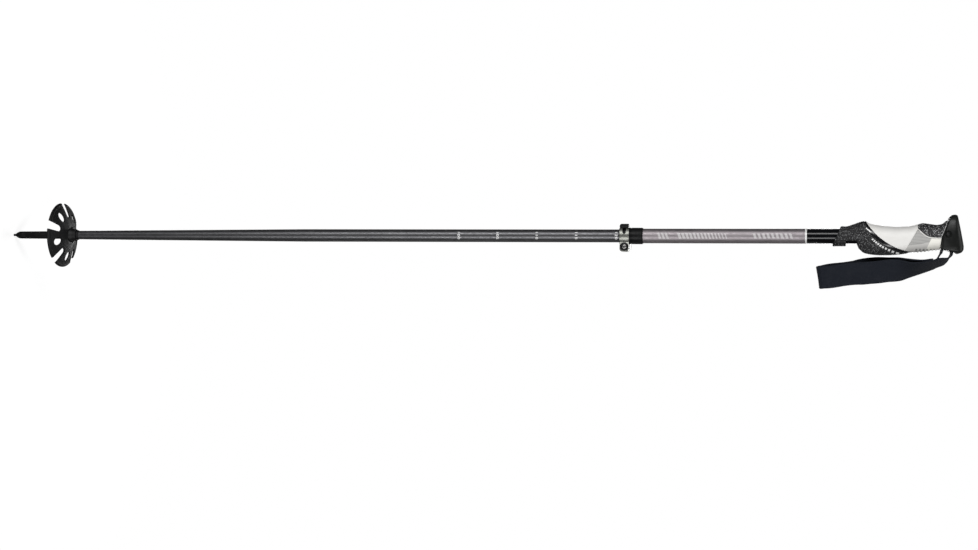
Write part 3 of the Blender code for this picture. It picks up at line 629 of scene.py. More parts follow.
def numeral(text, height):
    """Vertices and faces of a number from the built-in font, flat, thin and centred."""
    curve = bpy.data.curves.new("numeral", "FONT")
    for key, value in {"body": text, "size": 1.0, "align_x": "CENTER", "align_y": "CENTER",
                       "extrude": 0.02, "offset": 0.012, "resolution_u": 4}.items():
        setattr(curve, key, value)
    thing = new_object("numeral", curve)
    mesh = evaluated_mesh(thing)
    bpy.data.objects.remove(thing)
    bm = bmesh.new()
    bm.from_mesh(mesh)
    bmesh.ops.remove_doubles(bm, verts=bm.verts, dist=1e-5)
    (left, right), (low, high) = [(min(v), max(v)) for v in zip(*(v.co.xy for v in bm.verts))]
    cuts = 14
    for k in range(1, cuts):
        bmesh.ops.bisect_plane(bm, geom=bm.verts[:] + bm.edges[:] + bm.faces[:],
                               plane_co=(left + (right - left) * k / cuts, 0, 0), plane_no=(1, 0, 0))
    bm.verts.index_update()
    scale = height / (high - low)
    vertices = [((v.co.x - (left + right) / 2) * scale, (v.co.y - (low + high) / 2) * scale, v.co.z / 0.02)
                for v in bm.verts]
    faces = [tuple(v.index for v in f.verts) for f in bm.faces]
    bm.free()
    return vertices, faces


def length_scale():
    """Six printed numbers, 50 mm apart, read round the front of the lower tube."""
    parts = []
    for step, label in enumerate(("100", "105", "110", "115", "120", "125")):
        z = 613.9 + 49.9 * step
        vertices, faces = numeral(label, 3.2)
        stretch = 4.7 / max(x for x, _, _ in vertices)
        parts.append(([on_tube(x * stretch, z + y, LOWER_R, 0.03 + 0.05 * depth) for x, y, depth in vertices],
                      faces))
    piece("length_scale", *join_data(parts), MAT["print"], "lower", slot="graphite_tube", angle=30)


def shaft_print():
    """Plain bars where the real shaft carries lettering."""
    long_row, z = [], 889.8
    for k in range(14):
        width = 3.4 - 0.16 * k
        long_row.append(tube_bar(3.6, z, z + width))
        z += width + 1.5 + 0.08 * k
    short_row = [tube_bar(3.2, 981.5 + 5.4 * k, 984.5 + 5.4 * k) for k in range(9)]
    stripes = [tube_bar(3.8, 865.4 + 4.6 * k, 868.2 + 4.6 * k) for k in range(3)]
    for name, bars in (("shaft_bars_long", long_row), ("shaft_bars_short", short_row), ("shaft_stripes", stripes)):
        piece(name, *join_data(bars), MAT["print_soft"], "handle", slot="mauve_tube")


# ---------------------------------------------------------------- clamp

SCREW_X, PIN_Y = 13.4, 14.8                  # axis of the screw, and of the barrel nut behind it
EAR_END_X, EAR_FRONT_Y, EAR_BACK_Y, EAR_GAP = 19.6, -9.5, 8.0, 2.2
BAND_IN_R, BAND_OUT_R = 10.5, 12.3
ARM_R, ARM_HALF, ARM_END = 13.9, 1.2, 222.0  # the lever's arm: radius, half thickness, angle of its tip
SCREW_R = 1.75


def screw_bore(radius, start, end, segments=32):
    """A round cutter about the screw's axis, from one y to another."""
    return lay_along_y(turned(((radius, start), (radius, end)), segments), SCREW_X, CLAMP_Z)


def clamp_sleeve():
    """Plastic sleeve over the upper tube's end, with a shadow groove and a slit under the band."""
    low, high = SLEEVE_LOW, SLEEVE_HIGH
    step = UPPER_LOW - GAP
    outer = [(8.8, low), (SLEEVE_R - 0.5, low), (SLEEVE_R, low + 0.5), (SLEEVE_R, low + 13.8),
             (SLEEVE_R - 0.35, low + 14.2), (SLEEVE_R - 0.35, low + 15.0), (SLEEVE_R, low + 15.4),
             (SLEEVE_R, high - 1.4), (SLEEVE_R - 0.8, high), (UPPER_R + 0.15, high)]
    inner = [(UPPER_R + 0.15, step), (LOWER_R + GAP, step), (LOWER_R + GAP, low + 0.5)]
    profile = soften(outer + inner, 0.3, 3, closed=True)
    sleeve = raw("sleeve", *turned(profile, 96, tube=True))
    slit = rounded_box((7.0, -1.0), (14.0, 1.0), 0.3, 3)
    cut(sleeve, prism(slit, "Z", low - 5.0, 833.0))
    finish_piece(sleeve, MAT["sleeve"], "handle", ["clamp_sleeve"], "black_plastic")


def clamp_band():
    """Metal band with two ears and a slot at its back; the front ear is bored out for the screw's head."""
    front = math.degrees(math.asin(EAR_FRONT_Y / BAND_OUT_R)) + 360
    back = math.degrees(math.asin(EAR_BACK_Y / BAND_OUT_R))
    mouth = math.degrees(math.asin(EAR_GAP / BAND_IN_R))
    outline = [(EAR_END_X, EAR_GAP), (EAR_END_X, EAR_BACK_Y)]
    outline += arc((0.0, 0.0), BAND_OUT_R, back, front, 96)
    outline += [(EAR_END_X, EAR_FRONT_Y), (EAR_END_X, -EAR_GAP)]
    outline += arc((0.0, 0.0), BAND_IN_R, 360 - mouth, mouth, 96)
    band = raw("band", *prism(outline, "Z", BAND_LOW, BAND_HIGH))
    side = rounded_box((-20.0, BAND_LOW - 0.001), (EAR_END_X + 0.001, BAND_HIGH + 0.001), 3.6, 12)
    cut(band, prism(side, "Y", -20.0, 20.0), "INTERSECT")
    slot = [(-20.0, CLAMP_Z + 2.1), (-20.0, CLAMP_Z - 2.1)] + arc((-4.3, CLAMP_Z), 2.1, -90, 90, 16)
    cut(band, prism(slot, "Y", -20.0, -3.0))
    cut(band, screw_bore(2.05, -20.0, 20.0))
    cut(band, screw_bore(3.5, -20.0, -6.0, 48))
    bevel(band, 0.4, 3, 42.0)
    finish_piece(band, MAT["satin"], "handle", ["clamp_band"], "satin_metal", 40)


def counterbore_shade_ring():
    """Black ring in the front of the ear round the screw's head, a dark piece put there as painted shade in the
    counterbore.
    """
    ring = soften(((3.25, -9.2), (5.3, -9.2), (5.3, -9.75), (4.8, -9.85), (3.25, -9.6)), 0.12, 3, closed=True)
    piece("counterbore_shade_ring", *lay_along_y(turned(ring, 64, tube=True), SCREW_X, CLAMP_Z),
          MAT["black"], "handle", slot="black_plastic")


def cam_washer():
    """Wear plate between the lever's cam and the rear ear."""
    outline = rounded_box((SCREW_X - 3.8, CLAMP_Z - 4.2), (SCREW_X + 4.8, CLAMP_Z + 4.2), 1.5, 8)
    plate = raw("washer", *prism(outline, "Y", 8.3, 9.1))
    cut(plate, screw_bore(2.05, -20.0, 20.0))
    bevel(plate, 0.15, 2, 50.0)
    finish_piece(plate, MAT["steel"], "handle", ["cam_washer"], "steel")


def tension_screw():
    """Domed cap screw with a hexagon socket, and a thread cut as close rings."""
    seat = -6.3
    head = soften(((1.72, seat - 2.55), (2.35, seat - 2.5), (3.0, seat - 1.7), (3.0, seat), (SCREW_R, seat)),
                  (0, 0.3, 0.5, 0.15, 0))
    thread, y = [], 1.0
    while y < 17.0:
        thread += [(SCREW_R, y), (SCREW_R - 0.3, y + 0.3)]
        y += 0.6
    shank = [(SCREW_R, seat + 0.5)] + thread + [(1.6, 17.4), (1.1, 17.6)]
    screw = raw("screw", *lay_along_y(turned(head + shank, 48), SCREW_X, CLAMP_Z))
    cut(screw, prism(arc((SCREW_X, CLAMP_Z), 1.45, 0, 300, 5), "Y", seat - 6.0, seat - 1.0))
    finish_piece(screw, MAT["steel"], "screw", ["tension_screw"], "steel", 30)


def lever_pin():
    """Barrel nut: a slot for a driver at each end, and a cross hole for the screw."""
    half = CLAMP_HEIGHT / 2 - 0.4
    profile = soften(((0.02, CLAMP_Z - half), (3.2, CLAMP_Z - half), (3.2, CLAMP_Z + half), (0.02, CLAMP_Z + half)),
                     (0, 0.4, 0.4, 0))
    vertices, faces = turned(profile, 64)
    pin = raw("pin", [(x + SCREW_X, y + PIN_Y, z) for x, y, z in vertices], faces)
    slots = [prism(rounded_box((SCREW_X - 2.2, PIN_Y - 0.4), (SCREW_X + 2.2, PIN_Y + 0.4), 0.2, 3), "Z", *span)
             for span in ((CLAMP_Z + half - 0.8, CLAMP_Z + 9.0), (CLAMP_Z - 9.0, CLAMP_Z - half + 0.8))]
    cut(pin, join_data(slots + [screw_bore(2.0, 5.0, 25.0)]))
    finish_piece(pin, MAT["steel"], "barrel", ["lever_pin"], "steel")


def clamp_lever():
    """Cam eye round the barrel nut and an arm that curls round the shaft to a ribbed finger tip."""
    start_r, start = math.hypot(SCREW_X, PIN_Y), math.degrees(math.atan2(PIN_Y, SCREW_X))
    steps = 120
    inner, outer = [], []
    for i in range(steps + 1):
        angle = start + (ARM_END - start) * i / steps
        middle = start_r + (ARM_R - start_r) * smooth_step(0.0, 48.0, angle - start)
        flare = max(0.0, (angle - 196.0) / 26.0) * 0.9
        ribs = 0.22 * max(0.0, math.cos((angle - 204.0) * math.pi / 3.0)) if 202.0 < angle < 219.0 else 0.0
        for edge, side, extra in ((inner, -1, 0.0), (outer, 1, flare - ribs)):
            edge.append(rotated(middle + side * ARM_HALF + extra, 0.0, math.radians(angle)))
    half = CLAMP_HEIGHT / 2 - 0.2
    span = (CLAMP_Z - half, CLAMP_Z + half)
    lever = raw("lever", *prism(outer + inner[::-1], "Z", *span))
    cut(lever, prism(arc((SCREW_X, PIN_Y), 5.4, 0, 355, 71), "Z", *span), "UNION")
    side = rounded_box((-16.2, span[0] - 0.001), (18.9, span[1] + 0.001), 3.5, 12)
    cut(lever, prism(side, "Y", -30.0, 30.0), "INTERSECT")
    cut(lever, prism(arc((SCREW_X, PIN_Y), 7.4, 0, 355, 71), "Z", CLAMP_Z - 2.5, CLAMP_Z + 2.5))
    cut(lever, prism(arc((SCREW_X, PIN_Y), 3.5, 0, 352.5, 47), "Z", 800.0, 850.0))
    bevel(lever, 0.35, 2, 50.0)
    finish_piece(lever, MAT["lever"], "lever", ["clamp_lever"], "lever_metal", 40)


# ---------------------------------------------------------------- grip

GRIP_FRONT = (
    (1070.0, -12.0), (1091.0, -11.8), (1099.0, -14.0), (1109.6, -17.6), (1114.0, -18.3),
    (1117.5, -16.2), (1122.0, -14.4), (1131.0, -13.1), (1141.5, -11.8), (1153.0, -11.3),
    (1164.0, -12.0), (1174.5, -14.1), (1181.0, -15.7), (1190.0, -14.5), (1197.0, -13.7),
    (1203.0, -14.8), (1208.5, -18.8), (1214.0, -21.0))
GRIP_BACK = (
    (1070.0, 11.9), (1091.0, 11.9), (1098.0, 12.4), (1104.0, 14.4), (1107.0, 16.4),
    (1110.3, 18.7), (1115.0, 20.7), (1123.0, 22.1), (1131.0, 22.7), (1140.0, 22.6),
    (1151.0, 22.0), (1160.0, 20.8), (1169.0, 19.4), (1184.0, 18.0), (1190.0, 17.0),
    (1197.0, 16.3), (1203.0, 16.1), (1214.0, 16.6))
GRIP_HALF_WIDTH = (
    (1070.0, 12.0), (1091.0, 12.0), (1099.0, 13.0), (1110.0, 14.6), (1120.0, 15.4),
    (1140.0, 15.6), (1165.0, 15.4), (1185.0, 15.2), (1200.0, 15.4), (1214.0, 15.8))
GRIP_MIDDLE = (
    (1070.0, 0.0), (1091.0, 0.0), (1115.0, 2.0), (1135.0, 4.5), (1155.0, 4.5),
    (1184.0, 2.0), (1203.0, 0.0), (1214.0, -1.0))
GRIP_POWER = 2 / 2.25
SWOOSH = (
    (-30.0, 1110.5, 1.0), (-18.5, 1113.9, 1.2), (-10.6, 1117.6, 2.6), (-2.5, 1122.9, 4.4),
    (5.0, 1130.9, 4.4), (13.2, 1144.1, 3.2), (18.0, 1157.4, 2.2), (20.0, 1169.2, 1.8),
    (20.8, 1180.0, 1.8), (30.0, 1196.0, 1.8))
PALM_TIP = (17.4, 1160.3)
PALM_CORNER = (-9.0, 1174.9)
THUMB_EDGE = (PALM_CORNER, (-4.6, 1179.6), (-1.8, 1182.5), (0.6, 1187.0), (1.6, 1193.0), (2.0, 1201.8))
NOTCH = ((5.5, 1091.2), (30.0, 1091.2), (30.0, 1114.0), (18.9, 1110.2), (15.4, 1106.8), (8.4, 1104.0),
         (5.5, 1103.4))
RIM_WIDTH = 1.3
STRIPE_WIDTH = 0.6
SEAM_R = 0.4                 # radius of the moulded parts' edges
SEAM_GAP = 0.04
BORE_R = UPPER_R + GAP

GRIP_LOW, GRIP_HIGH = 1062.0, 1221.0
COLLAR_Z, COLLAR_SLOPE = 1080.3, 0.395       # lower edge of the grip at x = 0, and its fall towards the back
RIBS_Z, RIB_PITCH = 1169.0, 4.2              # ribs down the back of the panel

FINE_Z = np.arange(GRIP_LOW, GRIP_HIGH + 1.0, 0.25)
FINE = [np.array([interpolate(table, z) for z in FINE_Z])
        for table in (GRIP_FRONT, GRIP_BACK, GRIP_HALF_WIDTH, GRIP_MIDDLE)]


def grip_point(theta, z):
    """x and y of the grip's outer form at an angle (0 at the back) and a height, as arrays."""
    front, back, half, middle = (np.interp(z, FINE_Z, row) for row in FINE)
    along, across = np.cos(theta), np.sin(theta)
    reach = np.where(along > 0, back - middle, middle - front)
    return (middle + np.sign(along) * reach * np.abs(along) ** GRIP_POWER,
            np.sign(across) * half * np.abs(across) ** GRIP_POWER)


def grip_normal(theta, z):
    """Outward unit normal of the outer form."""
    d, e = 0.01, 0.2
    (x0, y0), (x1, y1) = grip_point(theta - d, z), grip_point(theta + d, z)
    (x2, y2), (x3, y3) = grip_point(theta, z - e), grip_point(theta, z + e)
    around = np.stack([x1 - x0, y1 - y0, np.zeros_like(x0)], -1)
    upward = np.stack([x3 - x2, y3 - y2, np.full_like(x2, 2 * e)], -1)
    normal = np.cross(around, upward)
    return normal / np.linalg.norm(normal, axis=-1, keepdims=True)


def height_curve(points):
    """A side-view polyline as a function from x to height, level beyond its ends."""
    xs, zs = np.array(points).T
    return lambda x: np.interp(x, xs, zs)


def swoosh_edge(side):
    """Upper (1) or lower (-1) edge of the gloss band, in the side view."""
    steps = 60
    heights = [(x, z) for x, z, _ in SWOOSH]
    widths = [(x, width) for x, _, width in SWOOSH]
    edge = []
    for i in range(steps + 1):
        x = -30.0 + 58.0 * i / steps
        slope = (interpolate(heights, x + 0.05) - interpolate(heights, x - 0.05)) / 0.1
        length = math.hypot(1.0, slope)
        offset = side * interpolate(widths, x) / 2
        edge.append((x - offset * slope / length, interpolate(heights, x) + offset / length))
    return edge


def offset_line(points, distance):
    """A side-view line moved to its lower right by a distance."""
    moved = []
    for i, point in enumerate(points):
        before = Vector(points[max(i - 1, 0)])
        after = Vector(points[min(i + 1, len(points) - 1)])
        along = (after - before).normalized()
        moved.append((point[0] + along.y * distance, point[1] - along.x * distance))
    return moved


def on_grip(curve, theta):
    """Height at which a side-view curve meets the outer form, for each angle."""
    low, high = np.full_like(theta, GRIP_LOW), np.full_like(theta, GRIP_HIGH)
    for _ in range(40):
        z = (low + high) / 2
        x, _ = grip_point(theta, z)
        below = z < np.clip(curve(x), GRIP_LOW, GRIP_HIGH)
        low, high = np.where(below, z, low), np.where(below, high, z)
    return (low + high) / 2


BODY_EDGE = height_curve(swoosh_edge(-1))
PALM_EDGE = height_curve(swoosh_edge(1))
PALM_TOP = height_curve((PALM_CORNER, PALM_TIP, (30.0, 1153.3)))
THUMB_LINE = soften(THUMB_EDGE, [0.0] + [2.0] * (len(THUMB_EDGE) - 2) + [0.0], 8)
RIM_LINE = offset_line(THUMB_LINE, RIM_WIDTH)
SEAM = ((-40.0, 1217.2), (-19.5, 1209.7), (2.0, 1201.7), (30.0, 1198.9))
CAP_EDGE = height_curve(SEAM)
THUMB_LOW = height_curve([(-40.0, PALM_CORNER[1])] + THUMB_LINE + [(2.3, 1220.0)])
RIM_LOW = height_curve([(x, PALM_CORNER[1] - RIM_WIDTH) for x in (-40.0, -9.6)] + RIM_LINE[1:] + [(3.6, 1220.0)])
COLLAR = height_curve([(x, COLLAR_Z - COLLAR_SLOPE * x) for x in (-40.0, 40.0)])


class Patch:
    """A moulded part of the grip between two curves, as a shell with rounded edges."""

    def __init__(self, name, low, high, columns, rows, centre, relief=None, lift=0.0, only=None):
        """centre is the angle in the middle of the part's range: 0 at the back, pi at the front."""
        self.name, self.relief, self.lift = name, relief, lift
        theta = centre - math.pi + 2 * math.pi * np.arange(columns) / columns
        if only:
            theta = theta[(theta > only[0]) & (theta < only[1])]
        z_low, z_high = low(theta), high(theta)
        kept = z_high - z_low > 0.35
        self.closed = bool(kept.all()) and not only
        if not self.closed:
            theta, z_low, z_high = theta[kept], z_low[kept], z_high[kept]
        self.theta = theta
        self.rows(z_low, z_high, rows)

    def rows(self, z_low, z_high, rows):
        """Heights of the grid: close rows over each rounded edge, even ones between."""
        inset = SEAM_R * (1 - np.cos(np.linspace(0, math.pi / 2, 5)))
        slopes = []
        for z in (z_low, z_high):
            dx, dy, dz = (np.roll(v, -1) - np.roll(v, 1) if self.closed else np.gradient(v)
                          for v in (*grip_point(self.theta, z), z))
            slopes.append(np.minimum(np.sqrt(1 + (dz / np.maximum(np.hypot(dx, dy), 1e-6)) ** 2), 12.0))
        low = z_low + SEAM_GAP * slopes[0]
        high = z_high - SEAM_GAP * slopes[1]
        height = np.maximum(high - low, 0.02)
        edge_low = np.minimum(SEAM_R * slopes[0], height * 0.45) / SEAM_R
        edge_high = np.minimum(SEAM_R * slopes[1], height * 0.45) / SEAM_R
        start, end = low + SEAM_R * edge_low, high - SEAM_R * edge_high
        self.z = np.array([low + step * edge_low for step in inset]
                          + [start + (end - start) * k / rows for k in range(1, rows)]
                          + [high - step * edge_high for step in inset[::-1]])
        steps = [*inset] + [SEAM_R] * (rows - 1) + [*inset[::-1]]
        self.edge = np.array(steps)[:, None] * np.ones_like(low)
        self.low, self.high = low, high

    def build(self):
        z = self.z
        theta = np.broadcast_to(self.theta, z.shape)
        x, y = grip_point(theta, z)
        normal = grip_normal(theta, z)
        pull = SEAM_R - np.sqrt(np.maximum(SEAM_R ** 2 - (SEAM_R - self.edge) ** 2, 0.0))
        away = np.minimum(z - self.low, self.high - z)
        if not self.closed:
            x_mid = x[len(x) // 2]
            span = np.minimum(np.abs(x_mid - x_mid[0]), np.abs(x_mid - x_mid[-1]))
            away = np.minimum(away, np.broadcast_to(span, z.shape) + 0.3)
        fade = np.clip((away - 0.3) / 0.9, 0.0, 1.0)
        offset, fields = self.lift - pull, {}
        if self.relief:
            shape, fields = self.relief(theta, x, y, z)
            offset = offset + shape * fade
        point = np.stack([x, y, z], -1)
        outer = point + normal * offset[..., None]
        rows_in = sorted({0, len(z) - 1} | set(range(4, len(z) - 4, 8)))
        turn = np.arctan2(y, x)
        inner = np.stack([BORE_R * np.cos(turn), BORE_R * np.sin(turn), z], -1)[rows_in]
        count = z.shape[1]
        vertices = [tuple(v) for v in outer.reshape(-1, 3)] + [tuple(v) for v in inner.reshape(-1, 3)]
        base = z.size
        faces = []

        def row(low, high, flip=False):
            """Quads between two rows of vertices."""
            for i in range(count if self.closed else count - 1):
                a, b = ((i + 1) % count, i) if flip else (i, (i + 1) % count)
                faces.append((low + a, low + b, high + b, high + a))

        for r in range(len(z) - 1):
            row(r * count, (r + 1) * count)
        for r in range(len(rows_in) - 1):
            row(base + r * count, base + (r + 1) * count, True)
        row(0, base, True)
        row((len(z) - 1) * count, base + (len(rows_in) - 1) * count)
        if not self.closed:
            for column in (0, count - 1):
                for k in range(len(rows_in) - 1):
                    outside = [r * count + column for r in range(rows_in[k], rows_in[k + 1] + 1)]
                    inside = [base + (k + 1) * count + column, base + k * count + column]
                    faces.append(tuple(outside + inside))
        thing = raw(self.name, vertices, faces)
        for name, values in fields.items():
            store(thing, name, list(values.reshape(-1)) + [0.0] * (len(vertices) - z.size))
        return thing


def store(thing, name, values):
    layer = thing.data.attributes.new(name, "FLOAT", "POINT")
    layer.data.foreach_set("value", [float(v) for v in values])


def near_notch(x, z):
    """Distance outside the notch in the side view."""
    front, low = NOTCH[0]
    top = np.interp(x, *zip(*NOTCH[:1:-1]))
    return np.hypot(np.maximum(front - x, 0.0), np.maximum(np.maximum(low - z, z - top), 0.0))


def body_relief(theta, x, y, z):
    """Pebbles in a diamond pattern, fading out to a smooth band, with rounded notch edges."""
    bumps = np.clip(np.cos(44 * theta) * np.cos(2 * math.pi / 4.3 * z), 0.0, 1.0) ** 0.8
    rough = np.array([[noise.noise(Vector((float(a), float(b), float(c))) * 0.35) for a, b, c in zip(*row)]
                      for row in zip(x[::6, ::4], y[::6, ::4], z[::6, ::4])])
    rough = np.repeat(np.repeat(rough, 6, 0)[:len(z)], 4, 1)[:, :z.shape[1]]
    above, gap = z - COLLAR_Z + COLLAR_SLOPE * x, near_notch(x, z)
    amount = np.clip(0.85 + rough * 0.9, 0.25, 1.2) * np.clip(above / 1.5, 0.0, 1.0) * np.clip(gap / 1.2, 0.0, 1.0)
    lip = 0.35 * np.exp(-((above - 1.6) / 1.1) ** 2)
    round_off = np.where(gap < 0.8, 0.8 - np.sqrt(np.maximum(0.64 - (0.8 - gap) ** 2, 0.0)), 0.0)
    return 0.26 * bumps * amount + lip - round_off, {}


def panel_relief(theta, x, y, z):
    """Checkering towards the front, fine lines in the warm zone by the cap, and grip ribs down the back."""
    warm = np.clip((z - (1189.5 - (x - 4.0) * 0.417)) / 0.8 + 0.5, 0.0, 1.0)
    edge = np.interp(z, [1164.1, 1176.0, 1188.3], [11.2, 9.8, 7.3])
    smooth = np.clip((x - edge) / 0.8 + 0.5, 0.0, 1.0)
    checks = np.abs(np.cos(math.pi * (x + 0.06 * z) / 1.75)) * (0.75 + 0.25 * np.abs(np.cos(math.pi * z / 2.2)))
    share = (1 - smooth) * (1 - warm)
    lines = 0.5 + 0.5 * np.cos(2 * math.pi * z / 1.9)
    back = np.clip((x - 14.6) / 1.6, 0.0, 1.0) * np.clip((z - RIBS_Z) / 3.0, 0.0, 1.0)
    ribs = 0.85 * (0.5 - 0.5 * np.cos(2 * math.pi * (z - RIBS_Z) / RIB_PITCH)) ** 2
    shape = 0.28 * (checks - 0.5) * share + 0.07 * lines * warm * (1 - back) + (ribs - 0.35) * back
    # raised also marks where the panel's material paints shade in the low parts of the relief
    raised = np.where(share > 0.5, checks, np.where(back > 0.5, 0.15 + ribs, 0.7))
    return shape, {"raised": raised, "smooth_zone": smooth, "warm_zone": warm}


def thumb_relief(theta, x, y, z):
    """Close round studs for the thumb."""
    studs = np.clip(np.cos(46 * theta) * np.cos(z * 2 * math.pi / 3.9) - 0.1, 0.0, 1.0) ** 0.6
    return 0.26 * studs + 0.1 * np.cos(2 * math.pi * (z - 1190.0) / 30.0), {}


def palm_relief(theta, x, y, z):
    """Three shallow finger waves down the front."""
    front = np.clip((-np.cos(theta) - 0.35) / 0.5, 0.0, 1.0)
    return 0.16 * np.cos(2 * math.pi * (z - 1124.0) / 17.0) * front, {}


def curve_on(curve):
    return lambda theta: on_grip(curve, theta)


def grip_pieces():
    swoosh_low, swoosh_high = curve_on(BODY_EDGE), curve_on(PALM_EDGE)
    cap_edge = curve_on(CAP_EDGE)

    def palm_high(theta):
        return np.maximum(on_grip(PALM_TOP, theta), swoosh_high(theta))

    def pad_low(theta):
        return np.minimum(on_grip(THUMB_LOW, theta), cap_edge(theta))

    def pad_high(theta):
        seam = cap_edge(theta)
        return np.where(seam - pad_low(theta) > 1.0, seam - STRIPE_WIDTH, seam)

    def rim_low(theta):
        return np.minimum(np.maximum(on_grip(RIM_LOW, theta), palm_high(theta)), cap_edge(theta))

    def part(patch, material, replaces, slot, angle=50):
        finish_piece(patch.build(), MAT[material], "handle", replaces, slot, angle)

    body = Patch("grip_body_textured", curve_on(COLLAR), swoosh_low, 288, 190, 0.0, body_relief).build()
    cut(body, prism(NOTCH, "Y", -40.0, 40.0))
    finish_piece(body, MAT["rubber"], "handle", ["grip_body"], "black_rubber", 42)
    part(Patch("grip_accent_gloss", swoosh_low, swoosh_high, 288, 8, 0.0, lift=0.05),
         "accent", ["grip_accent"], "gloss_black")
    part(Patch("grip_palm_white", swoosh_high, palm_high, 288, 56, math.pi, palm_relief, lift=0.05),
         "white", ["grip_palm"], "white_rubber")
    part(Patch("grip_panel_checkered", palm_high, rim_low, 480, 130, 0.0, panel_relief),
         "grey", ["grip_panel"], "grey_rubber")
    for side, only in (("left", (0.0, math.pi)), ("right", (math.pi, 2 * math.pi))):
        part(Patch("thumb_rim_" + side, rim_low, pad_low, 480, 6, math.pi, lift=0.35, only=only),
             "white", (), "white_rubber")
    part(Patch("thumb_pad_studded", pad_low, pad_high, 288, 90, math.pi, thumb_relief),
         "thumb", ["thumb_pad"], "black_rubber")
    part(Patch("cap_pinstripe", pad_high, cap_edge, 288, 2, math.pi, lift=0.12), "print", (), "grey_rubber", 60)


def surface_at(x, z, side, lift):
    """A point of the grip's side, lifted off it; side is -1 for -Y."""
    front, back, half, middle = (float(np.interp(z, FINE_Z, row)) for row in FINE)
    reach = (back - middle) if x > middle else (middle - front)
    across = max(1e-6, 1 - min(abs(x - middle) / reach, 0.999) ** (2 / GRIP_POWER))
    y = side * half * across ** (GRIP_POWER / 2)
    theta = math.atan2(math.copysign(across ** 0.5, side),
                       math.copysign(max(1 - across, 0.0) ** 0.5, x - middle))
    normal = grip_normal(np.array([theta]), np.array([z]))[0]
    return (x + normal[0] * lift, y + normal[1] * lift, z + normal[2] * lift)


def grip_dash(start, end, width, side, lift):
    """A short raised bar on the grip's side, from one side-view point to another."""
    start, end = Vector(start), Vector(end)
    along = (end - start).normalized()
    across = Vector((-along.y, along.x)) * width / 2
    steps, columns = 8, 5
    rings = []
    for k in range(steps + 1):
        centre = start + (end - start) * k / steps
        strip = [centre + across * (2 * c / columns - 1) for c in range(columns + 1)]
        rings.append([surface_at(p.x, p.y, side, lift) for p in strip]
                     + [surface_at(p.x, p.y, side, -0.4) for p in strip[::-1]])
    return loft(rings)


def grip_graphics():
    """A row of plain dashes below the accent, where the real grip carries a name."""
    xs, zs = zip(*swoosh_edge(-1))
    parts = []
    for side in (-1, 1):
        for k in range(10):
            points = []
            for share in (0.0, 0.58):
                x = 1.6 + (19.0 - 1.6) * (k + share) / 10
                z, before, after = (float(np.interp(x + step, xs, zs)) for step in (0.0, -0.3, 0.3))
                slope = (after - before) / 0.6
                length = math.hypot(1, slope)
                points.append((x + 2.7 * slope / length, z - 2.7 / length))
            if points[1][0] < 21.4:
                parts.append(grip_dash(*points, 2.3, side, 0.24))
        parts.append(grip_dash((-9.6, 1114.4), (-4.4, 1120.4), 1.2, side, 0.24))
    piece("grip_dashes", *join_data(parts), MAT["ring"], "handle", slot="white_rubber", angle=50)


# ---------------------------------------------------------------- head of the grip

CAP = (
    (-26.15, 1217.6, 1218.4, 1.6), (-25.9, 1216.6, 1219.0, 4.0), (-25.1, 1213.8, 1220.8, 7.5),
    (-22.6, 1211.4, 1221.6, 11.0), (-19.0, 1209.9, 1222.3, 13.4), (-13.0, 1207.7, 1223.5, 15.4),
    (-6.5, 1205.4, 1224.8, 16.5), (2.0, 1202.2, 1226.4, 17.0), (8.0, 1201.6, 1227.5, 17.0),
    (12.5, 1201.2, 1228.1, 16.9), (15.2, 1200.9, 1228.0, 16.6), (15.9, 1203.6, 1227.8, 16.5),
    (16.9, 1208.4, 1227.3, 16.2), (18.2, 1213.0, 1226.5, 15.4), (19.7, 1216.2, 1224.8, 13.4),
    (20.7, 1218.2, 1221.8, 9.5), (20.95, 1219.3, 1220.9, 5.0))
WEB_WIDTH = 27.0
WEB_THICK = 1.8
STRAP_PIN = (-2.5, 1209.2)
STRAP_PIN_R = 2.0
WRAP_R = STRAP_PIN_R + GAP + WEB_THICK / 2
ANCHOR_LOW = ((17.0, 1202.9), (23.0, 1200.2), (29.4, 1196.7))
ANCHOR_HIGH = ((18.6, 1214.2), (23.0, 1213.2), (27.4, 1209.6), (29.9, 1204.6), (31.4, 1199.4))


def cap_ring(x, low, high, half_width, segments=128):
    """Section across the cap: boxy below, rounder on top, with a fine groove round the top plate."""
    middle = low + (high - low) * 0.45
    ring = []
    for i in range(segments):
        angle = 2 * math.pi * (i + 0.5) / segments
        across, up = math.cos(angle), math.sin(angle)
        power = 2 / 3.0 if up > 0 else 2 / 7.0
        reach = (high - middle) if up > 0 else (middle - low)
        groove = 1 - 0.022 * math.exp(-((up - 0.84) / 0.035) ** 2) * smooth_step(3.0, 8.0, high - low)
        y = math.copysign(half_width * abs(across) ** power, across) * groove
        z = middle + math.copysign(reach * abs(up) ** power, up) * groove
        ring.append((x, y, z))
    return ring


